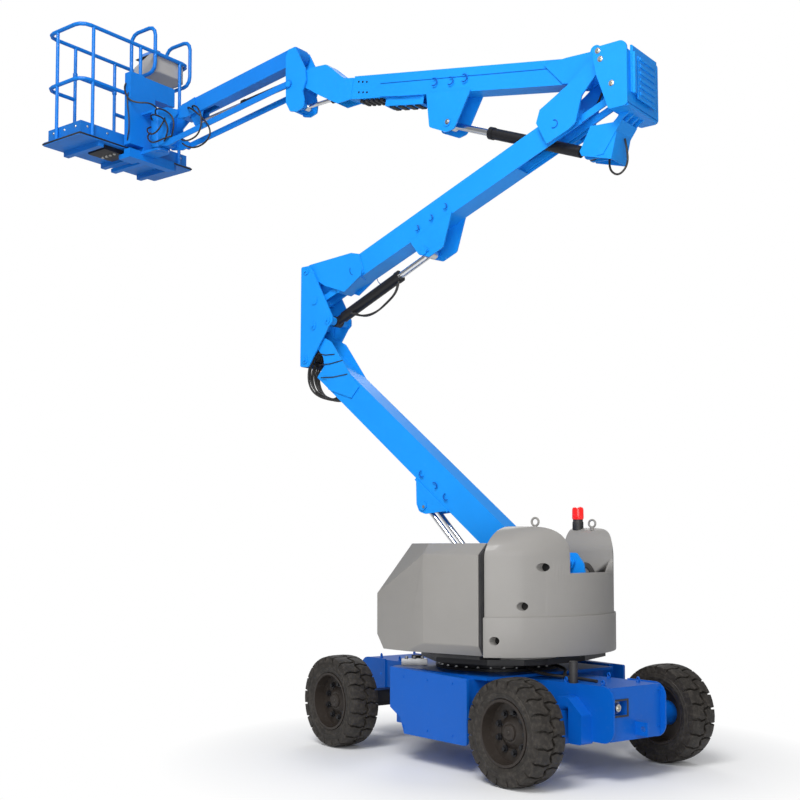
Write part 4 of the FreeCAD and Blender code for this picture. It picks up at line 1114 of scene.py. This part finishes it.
class BOOMLIFT_OT_riser(bpy.types.Operator):
    """Welds, cable bands, bolts and hoses of the two riser arms"""

    bl_idname = "boomlift.riser"
    bl_label = "Riser fittings"

    def execute(self, context):
        bolt = context.scene.boomlift_size.bolt
        self.lower_arm()
        rows = both_sides([(0.084, 0.138, 0.492), (-0.014, 0.13, 0.217), (-0.16, 0.138, 0.033),
                           (0.0, 0.138, 0.0), (0.092, 0.138, -0.286)])
        fasteners("mid_pivot_bolts", "mid_pivot", MID, rows, bolt * 1.2, None, 6, "boom_blue")
        self.upper_arm()
        for name, body, place, radius, length, route in FREE_HOSES:
            free_hose(name, body, place, radius, route)
        return {"FINISHED"}

    def lower_arm(self):
        welds = Shape(LOWER)
        for at, first in (((1.387, -0.262), 200), ((1.232, -0.261), 20), ((1.085, -0.254), 200)):
            welds.arc_bar(at, ARM_FACE, 0.026, first, first + 190, 0.0045)
        welds.mirrored()
        # The beads are real; their darker chassis blue is painted shade along them.
        welds.finish("lower_arm_welds", "lower_arm", "chassis_blue", "blue_paint")
        bars = Shape(LOWER)
        for (u0, n0), (u1, n1) in (((2.936, -0.16), (2.778, -0.06)), ((2.86, -0.23), (2.671, -0.048)),
                                   ((2.77, -0.3), (2.55, -0.106))):
            middle = ((u0 + u1) / 2, 0.1055, (n0 + n1) / 2 - 0.012)
            bars.sweep([(u0, 0.1045, n0), middle, (u1, 0.1035, n1)], 0.0045, 8)
        bars.finish("lower_arm_bands", "lower_arm", "hose")
        rows = both_sides([(1.198, 0.106, -0.448), (3.118, 0.1025, 0.0)])
        fasteners("lower_arm_bolts", "lower_arm", LOWER, rows, 0.013, None, 6, "steel")

    def upper_arm(self):
        arcs = Shape(UPPER)
        for at, radius, first, last in (((2.66, -0.247), 0.045, -50, 50), ((2.53, -0.343), 0.07, -45, 45)):
            arcs.arc_bar(at, ARM_FACE, radius, first, last)
        arcs.arc_bar((0.528, -0.239), 0.146, 0.03, 100, 330, 0.0045)
        for at in ((1.646, -0.25), (1.8, -0.262), (1.952, -0.268)):
            arcs.arc_bar(at, ARM_FACE, 0.022, 120, 320, 0.0045)
        arcs.mirrored()
        # The beads are real; their darker chassis blue is painted shade along them.
        arcs.finish("upper_arm_welds", "upper_arm", "chassis_blue", "blue_paint")
        rows = both_sides([(1.929, 0.106, -0.488)])
        fasteners("upper_arm_bolts", "upper_arm", UPPER, rows, 0.013, None, 6, "boom_blue")
        routes = [[(0.19, y, -0.1), (0.22, y, -0.13), (0.27, y, -0.17), (0.33, y, -0.2), (0.39, y, -0.21)]
                  for y in (-0.119, 0.119)]
        hoses("fork_hoses", "upper_arm", UPPER, routes, 0.008)


class BOOMLIFT_OT_boom(bpy.types.Operator):
    """Bolts, seams, cable tray and covers of the boom and the knuckle housing"""

    bl_idname = "boomlift.boom"
    bl_label = "Boom fittings"

    def execute(self, context):
        self.bolts(context.scene.boomlift_size.bolt)
        self.boom()
        self.hanger()
        self.rear()
        return {"FINISHED"}

    def bolts(self, bolt):
        rows = both_sides([(x, 0.2505, z) for x, z in ((-0.024, -0.009), (-0.044, -0.074), (-0.131, -0.271))])
        fasteners("knuckle_bolts", "knuckle_housing", KNUCKLE, rows, bolt * 1.3)
        pad_bolts = ((2.374, -0.03), (2.283, -0.036), (2.357, -0.12), (2.267, -0.125),
                     (2.33, -0.033), (2.31, -0.122))
        rows = both_sides([(u, 0.081, n) for u, n in pad_bolts])
        fasteners("boom_bolts", "boom_outer", BOOM, rows, 0.0055, 0.005, 6, "black_paint")
        rows = both_sides([(1.354, 0.1, -0.414)])
        fasteners("boom_pin_bolts", "boom_outer", BOOM, rows, 0.014, None, 6, "steel")

    def boom(self):
        seams = Shape(BOOM)
        for outline in ([(0.24, -0.047), (2.13, -0.063), (2.13, -0.057), (0.24, -0.041)],
                        [(1.69, -0.187), (2.115, -0.173), (2.115, -0.168), (1.69, -0.182)]):
            seams.prism(outline, BOOM_FACE, BOOM_FACE + 0.0035, 0.001)
        for u, n in ((1.551, -0.084), (1.389, -0.086), (1.254, -0.07)):
            seams.arc_bar((u, n), 0.096, 0.03, 60, 300, 0.005)
        seams.mirrored()
        # The seams and beads are real; their darker chassis blue is painted shade along them.
        seams.finish("boom_seams", "boom_outer", "chassis_blue", "blue_paint")
        tray = Shape(BOOM)
        tray.length([(-0.062, -0.245), (0.062, -0.245), (0.062, -0.17), (0.056, -0.17), (0.056, -0.239),
                     (-0.056, -0.239), (-0.056, -0.17), (-0.062, -0.17)], 1.66, 2.06, 0.001)
        tray.finish("cable_tray", "boom_outer", "boom_blue", "blue_paint")
        slides = Shape(BOOM)
        for i in range(4):
            slides.block((1.7 + 0.09 * i, -0.05, -0.256), (1.75 + 0.09 * i, 0.05, -0.2448), 0.002)
        for i in range(5):
            slides.block((2.1 + 0.055 * i, -0.06, -0.2), (2.13 + 0.055 * i, 0.06, -0.172), 0.002)
        slides.finish("boom_slides", "boom_outer", "plastic")

    def hanger(self):
        half = 0.113
        cover = Shape(KNUCKLE)
        plate = [(0.115, -0.49), (-0.07, -0.5), (-0.116, -0.46), (-0.046, -0.765), (0.19, -0.695),
                 (0.205, -0.66)]
        cover.prism(plate, half - 0.008, half, 0.002)
        cover.mirrored()
        back = [(-0.113, -0.462), (-0.121, -0.464), (-0.053, -0.765), (-0.045, -0.763)]
        cover.prism(back, -half, half, 0.002)
        cover.finish("hanger_cover", "knuckle_housing", "boom_blue", "blue_paint")

    def rear(self):
        at = TURRET.inverted() @ joint_point("boom_lift")
        rear = Shape(TURRET)
        x = turned_box("knuckle_housing")[0].x
        rear.block((x - 0.012, -0.15, at.z - 0.38), (x + 0.004, 0.13, at.z - 0.07), 0.006, 3)
        for i in range(6):
            z = at.z - 0.35 + i * 0.05
            rear.block((x - 0.02, -0.13, z), (x - 0.01, 0.11, z + 0.022), 0.004)
        rear.block((x - 0.02, 0.165, at.z - 0.36), (x + 0.004, 0.2, at.z - 0.06), 0.008, 3)
        rear.finish("knuckle_cover", "knuckle_housing", "boom_blue", "blue_paint")


class BOOMLIFT_OT_platform(bpy.types.Operator):
    """Console lid and guard, box under the floor, rubber edge and toe board bolts of the platform"""

    bl_idname = "boomlift.platform"
    bl_label = "Platform fittings"

    def execute(self, context):
        self.console(*turned_box("platform_console"))
        self.floor(*turned_box("platform_floor"))
        return {"FINISHED"}

    def console(self, low, high):
        lid = Shape(TURRET)
        lid.block((low.x + 0.01, low.y + 0.01, high.z - 0.004),
                  (high.x - 0.01, high.y - 0.01, high.z + 0.004), 0.002)
        lid.finish("console_lid", "platform", "plastic")
        guard = Shape(TURRET)
        guard.block((low.x + 0.03, high.y - 0.1, high.z + 0.003),
                    (high.x - 0.05, high.y - 0.02, high.z + 0.045), 0.015, 3)
        guard.finish("console_guard", "platform", "pale_blue", "blue_paint")

    def floor(self, low, high):
        box_under = Shape(TURRET)
        box_under.block((low.x + 0.06, 0.12, low.z + 0.004), (low.x + 0.32, 0.42, low.z + 0.052), 0.004)
        box_under.finish("floor_box", "platform", "black_paint")
        ports = Shape(TURRET)
        for i in range(4):
            x = low.x + 0.1 + 0.06 * i
            ports.rod((x, 0.27, low.z + 0.006), (x, 0.27, low.z - 0.006), 0.016)
        ports.finish("floor_box_ports", "platform", "zinc")
        edge = Shape(TURRET)
        x0, y0, x1, y1 = low.x + 0.004, low.y + 0.004, high.x - 0.004, high.y - 0.004
        z = low.z + 0.065
        edge.sweep([(x0, y0, z), (x1, y0, z), (x1, y1, z), (x0, y1, z)], 0.011, 10, True)
        edge.finish("floor_edge", "platform", "hose")
        rows = []
        for i in range(6):
            y = low.y + 0.12 + i * (high.y - low.y - 0.24) / 5
            rows.append(((low.x + 0.0385, y, low.z + 0.16), (-1, 0, 0)))
        for i in range(3):
            x = low.x + 0.12 + i * (high.x - low.x - 0.24) / 2
            rows.append(((x, high.y - 0.0385, low.z + 0.16), (0, 1, 0)))
        fasteners("toe_board_bolts", "platform", TURRET, rows, 0.008, 0.005)


# Name, body, frame, radius, real length, and the points that each hose follows
FREE_HOSES = tuple(
    (f"mid_hose_{i + 1}", "lower_arm", LOWER, 0.0095, real,
     [(2.96, y, -0.1), (2.984, y, -0.19), (2.975 - d, y * 1.1, -0.33 - d), (2.9 - d, y * 1.2, -0.43 - d),
      (2.8 - d, y * 1.2, -0.475 - d), (2.7, y * 1.1, -0.46 - d), (2.6, y, -0.41 - d * 0.5), (2.54, y, -0.35),
      (2.53, y, -0.25)])
    for i, (y, d, real) in enumerate(((-0.06, 0.0, 0.85), (-0.037, -0.006, 0.846), (-0.014, -0.015, 0.84),
                                      (0.012, -0.003, 0.848), (0.034, -0.02, 0.837), (0.056, -0.008, 0.845)))
) + (
    ("lift_hose_1", "upper_lift_barrel", MID, 0.0085, 0.64,
     [(-0.36, 0.05, 0.08), (-0.444, 0.062, 0.047), (-0.55, 0.065, 0.035), (-0.66, 0.065, 0.055),
      (-0.77, 0.065, 0.12), (-0.84, 0.062, 0.175), (-0.87, 0.057, 0.23), (-0.875, 0.05, 0.285)]),
    ("lift_hose_2", "upper_lift_barrel", MID, 0.0085, 0.576,
     [(-0.38, 0.03, 0.08), (-0.46, 0.04, 0.045), (-0.55, 0.042, 0.035), (-0.65, 0.042, 0.065),
      (-0.75, 0.042, 0.13), (-0.81, 0.04, 0.175), (-0.84, 0.035, 0.225), (-0.845, 0.03, 0.27)]),
    ("knuckle_hose", "knuckle_housing", KNUCKLE, 0.008, 0.525,
     [(0.01, 0.0, -0.66), (0.025, 0.0, -0.74), (0.01, 0.005, -0.82), (-0.055, 0.01, -0.865),
      (-0.12, 0.01, -0.82), (-0.135, 0.005, -0.73), (-0.105, 0.0, -0.6)]),
    ("platform_hose_1", "jib_end", JIB_END, 0.008, 0.59,
     [(0.3, 0.08, 0.05), (0.27, 0.125, 0.08), (0.2, 0.14, 0.08), (0.1, 0.135, 0.04), (0.0, 0.13, -0.04),
      (-0.02, 0.125, -0.12), (0.01, 0.12, -0.2), (0.06, 0.09, -0.24)]),
    ("platform_hose_2", "jib_end", JIB_END, 0.008, 0.466,
     [(0.37, 0.06, -0.1), (0.38, 0.11, -0.13), (0.36, 0.13, -0.19), (0.29, 0.14, -0.245), (0.2, 0.14, -0.25),
      (0.1, 0.13, -0.23), (0.05, 0.08, -0.21)]),
    ("platform_hose_3", "jib_end", JIB_END, 0.008, 0.59,
     [(0.34, 0.08, 0.0), (0.33, 0.13, 0.03), (0.26, 0.155, 0.03), (0.16, 0.155, -0.01), (0.08, 0.15, -0.07),
      (0.05, 0.14, -0.15), (0.09, 0.125, -0.22), (0.18, 0.08, -0.25)]),
    ("platform_hose_4", "jib_end", JIB_END, 0.008, 0.53,
     [(0.36, 0.07, -0.05), (0.37, 0.125, -0.07), (0.34, 0.155, -0.13), (0.26, 0.165, -0.18),
      (0.17, 0.165, -0.16), (0.12, 0.15, -0.09), (0.13, 0.11, -0.03), (0.18, 0.07, 0.01)]),
    ("column_hose", "platform", JIB_END, 0.008, 0.538,
     [(0.58, 0.22, 0.4), (0.575, 0.255, 0.37), (0.55, 0.262, 0.28), (0.5, 0.25, 0.2), (0.43, 0.2, 0.17),
      (0.36, 0.12, 0.18), (0.33, 0.05, 0.15), (0.33, 0.03, 0.115)]),
    ("column_cable", "platform", JIB_END, 0.006, 0.535,
     [(0.54, 0.22, 0.3), (0.535, 0.25, 0.27), (0.52, 0.256, 0.15), (0.5, 0.25, 0.02), (0.5, 0.25, -0.1),
      (0.53, 0.245, -0.18), (0.56, 0.22, -0.2)]),
    ("jib_hose_1", "jib_beam", JIB, 0.008, 1.062,
     [(1.4, 0.05, 0.0), (1.37, 0.1, 0.0), (1.28, 0.128, -0.06), (1.16, 0.132, -0.18), (1.06, 0.132, -0.31),
      (1.05, 0.132, -0.41), (1.14, 0.132, -0.46), (1.27, 0.13, -0.46), (1.4, 0.12, -0.4),
      (1.48, 0.09, -0.33)]),
    ("jib_hose_2", "jib_beam", JIB, 0.008, 0.823,
     [(1.34, 0.05, -0.01), (1.31, 0.1, -0.01), (1.21, 0.13, -0.06), (1.14, 0.148, -0.16), (1.14, 0.15, -0.28),
      (1.2, 0.15, -0.36), (1.32, 0.145, -0.37), (1.43, 0.12, -0.33), (1.5, 0.09, -0.28)]),
)


def free_hose(name, body, place, radius, route):
    """A hose that hangs free between its two ends."""
    curve = bpy.data.curves.new(name, "CURVE")
    curve.dimensions = "3D"
    curve.resolution_u = 12
    curve.bevel_depth = radius
    curve.bevel_resolution = 3
    curve.use_fill_caps = True
    spline = curve.splines.new("NURBS")
    spline.points.add(len(route) - 1)
    points = [place @ Vector(at) for at in route]
    for point, at in zip(spline.points, points):
        point.co = (*at, 1.0)
    spline.order_u = 3
    spline.use_endpoint_u = True
    spline.use_smooth = True
    curve.materials.append(MATERIALS["hose"])
    piece = bpy.data.objects.new(name, curve)
    bpy.context.scene.collection.objects.link(piece)
    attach(piece, body)
    2 * radius


class BOOMLIFT_OT_stage(bpy.types.Operator):
    """Floor, lamps and camera"""

    bl_idname = "boomlift.stage"
    bl_label = "Stage"

    def execute(self, context):
        make_floor()
        make_world()
        make_lamps()
        make_camera()
        return {"FINISHED"}


CAMERA_AT = (-6.82, 6.131, 1.582)
CAMERA_YAW = -37.29
CAMERA_PITCH = 3.14
CAMERA_LENS = 53.25
CAMERA_SHIFT = 0.101


def make_camera():
    data = bpy.data.cameras.new("camera")
    data.lens = CAMERA_LENS
    data.sensor_width = 36.0
    data.shift_y = CAMERA_SHIFT
    data.clip_end = 200.0
    camera = bpy.data.objects.new("camera", data)
    camera.location = CAMERA_AT
    camera.rotation_euler = (math.radians(90 + CAMERA_PITCH), 0.0, math.radians(CAMERA_YAW - 90))
    bpy.context.scene.collection.objects.link(camera)
    bpy.context.scene.camera = camera


def lamp(name, place, target, size, power, colour=(1, 1, 1)):
    data = bpy.data.lights.new(name, "AREA")
    data.shape = "SQUARE"
    data.size = size
    data.energy = power
    data.color = colour
    light = bpy.data.objects.new(name, data)
    light.location = place
    light.rotation_euler = (Vector(target) - Vector(place)).to_track_quat("-Z", "Y").to_euler()
    bpy.context.scene.collection.objects.link(light)


def make_lamps():
    lamp("key", (-5.0, 9.0, 13.0), (0.5, 0.0, 2.5), 6.0, 1750.0)
    lamp("fill", (-9.0, 7.0, 4.0), (0.5, 0.0, 3.0), 8.0, 620.0)
    lamp("back", (10.0, -8.0, 10.0), (0.5, 0.0, 3.0), 6.0, 350.0)


def make_world():
    world = bpy.data.worlds.new("world")
    bpy.context.scene.world = world
    world.use_nodes = True
    tree = world.node_tree
    tree.nodes.clear()
    path = tree.nodes.new("ShaderNodeLightPath")
    light = tree.nodes.new("ShaderNodeBackground")
    light.inputs["Color"].default_value = (0.93, 0.95, 1.0, 1.0)
    light.inputs["Strength"].default_value = 0.27
    white = tree.nodes.new("ShaderNodeBackground")
    white.inputs["Color"].default_value = (1.0, 1.0, 1.0, 1.0)
    mix = tree.nodes.new("ShaderNodeMixShader")
    out = tree.nodes.new("ShaderNodeOutputWorld")
    tree.links.new(path.outputs["Is Camera Ray"], mix.inputs["Fac"])
    tree.links.new(light.outputs[0], mix.inputs[1])
    tree.links.new(white.outputs[0], mix.inputs[2])
    tree.links.new(mix.outputs[0], out.inputs["Surface"])


def make_floor():
    half = 60.0
    data = bpy.data.meshes.new("floor")
    corners = [(-half, -half, 0), (half, -half, 0), (half, half, 0), (-half, half, 0)]
    data.from_pydata(corners, [], [(0, 1, 2, 3)])
    floor = bpy.data.objects.new("floor", data)
    bpy.context.scene.collection.objects.link(floor)
    s = Shader("floor_white")
    s.set(Base_Color=(0.86, 0.86, 0.86, 1.0), Roughness=0.7)
    away = s.node("ShaderNodeVectorMath", {"operation": "LENGTH"}, out=1, Vector=s.place)
    white = s.tree.nodes.new("ShaderNodeEmission")
    mix = s.tree.nodes.new("ShaderNodeMixShader")
    seen = s.node("ShaderNodeLightPath")
    s.feed(mix.inputs["Fac"], ((away - 1.3) * 0.8).clamped() * seen)
    s.tree.links.new(s.bsdf.outputs[0], mix.inputs[1])
    s.tree.links.new(white.outputs[0], mix.inputs[2])
    s.tree.links.new(mix.outputs[0], s.tree.nodes["Material Output"].inputs["Surface"])
    data.materials.append(s.material)


class BOOMLIFT_PT_panel(bpy.types.Panel):
    """Sizes and colours of the boom lift, and its pieces"""

    bl_idname = "BOOMLIFT_PT_panel"
    bl_label = "Boom Lift"
    bl_space_type = "VIEW_3D"
    bl_region_type = "UI"
    bl_category = "Boom Lift"

    def draw(self, context):
        for group in (context.scene.boomlift_paint, context.scene.boomlift_size):
            for name in group.__annotations__:
                self.layout.prop(group, name)
        for operator in OPERATORS:
            self.layout.operator(operator.bl_idname)


OPERATORS = (BOOMLIFT_OT_finishes, BOOMLIFT_OT_wheels, BOOMLIFT_OT_turret, BOOMLIFT_OT_chassis,
             BOOMLIFT_OT_riser, BOOMLIFT_OT_boom, BOOMLIFT_OT_platform, BOOMLIFT_OT_stage)
CLASSES = (PaintSettings, SizeSettings, *OPERATORS, BOOMLIFT_PT_panel)


def register():
    for cls in CLASSES:
        bpy.utils.register_class(cls)
    bpy.types.Scene.boomlift_paint = PointerProperty(type=PaintSettings)
    bpy.types.Scene.boomlift_size = PointerProperty(type=SizeSettings)


def unregister():
    del bpy.types.Scene.boomlift_paint
    del bpy.types.Scene.boomlift_size
    for cls in reversed(CLASSES):
        bpy.utils.unregister_class(cls)


def main():
    register()
    for operator in OPERATORS:
        group, name = operator.bl_idname.split(".")
        getattr(getattr(bpy.ops, group), name)()
    bpy.context.scene.view_settings.view_transform = "Standard"
    bpy.context.view_layer.update()


if __name__ == "__main__":
    main()
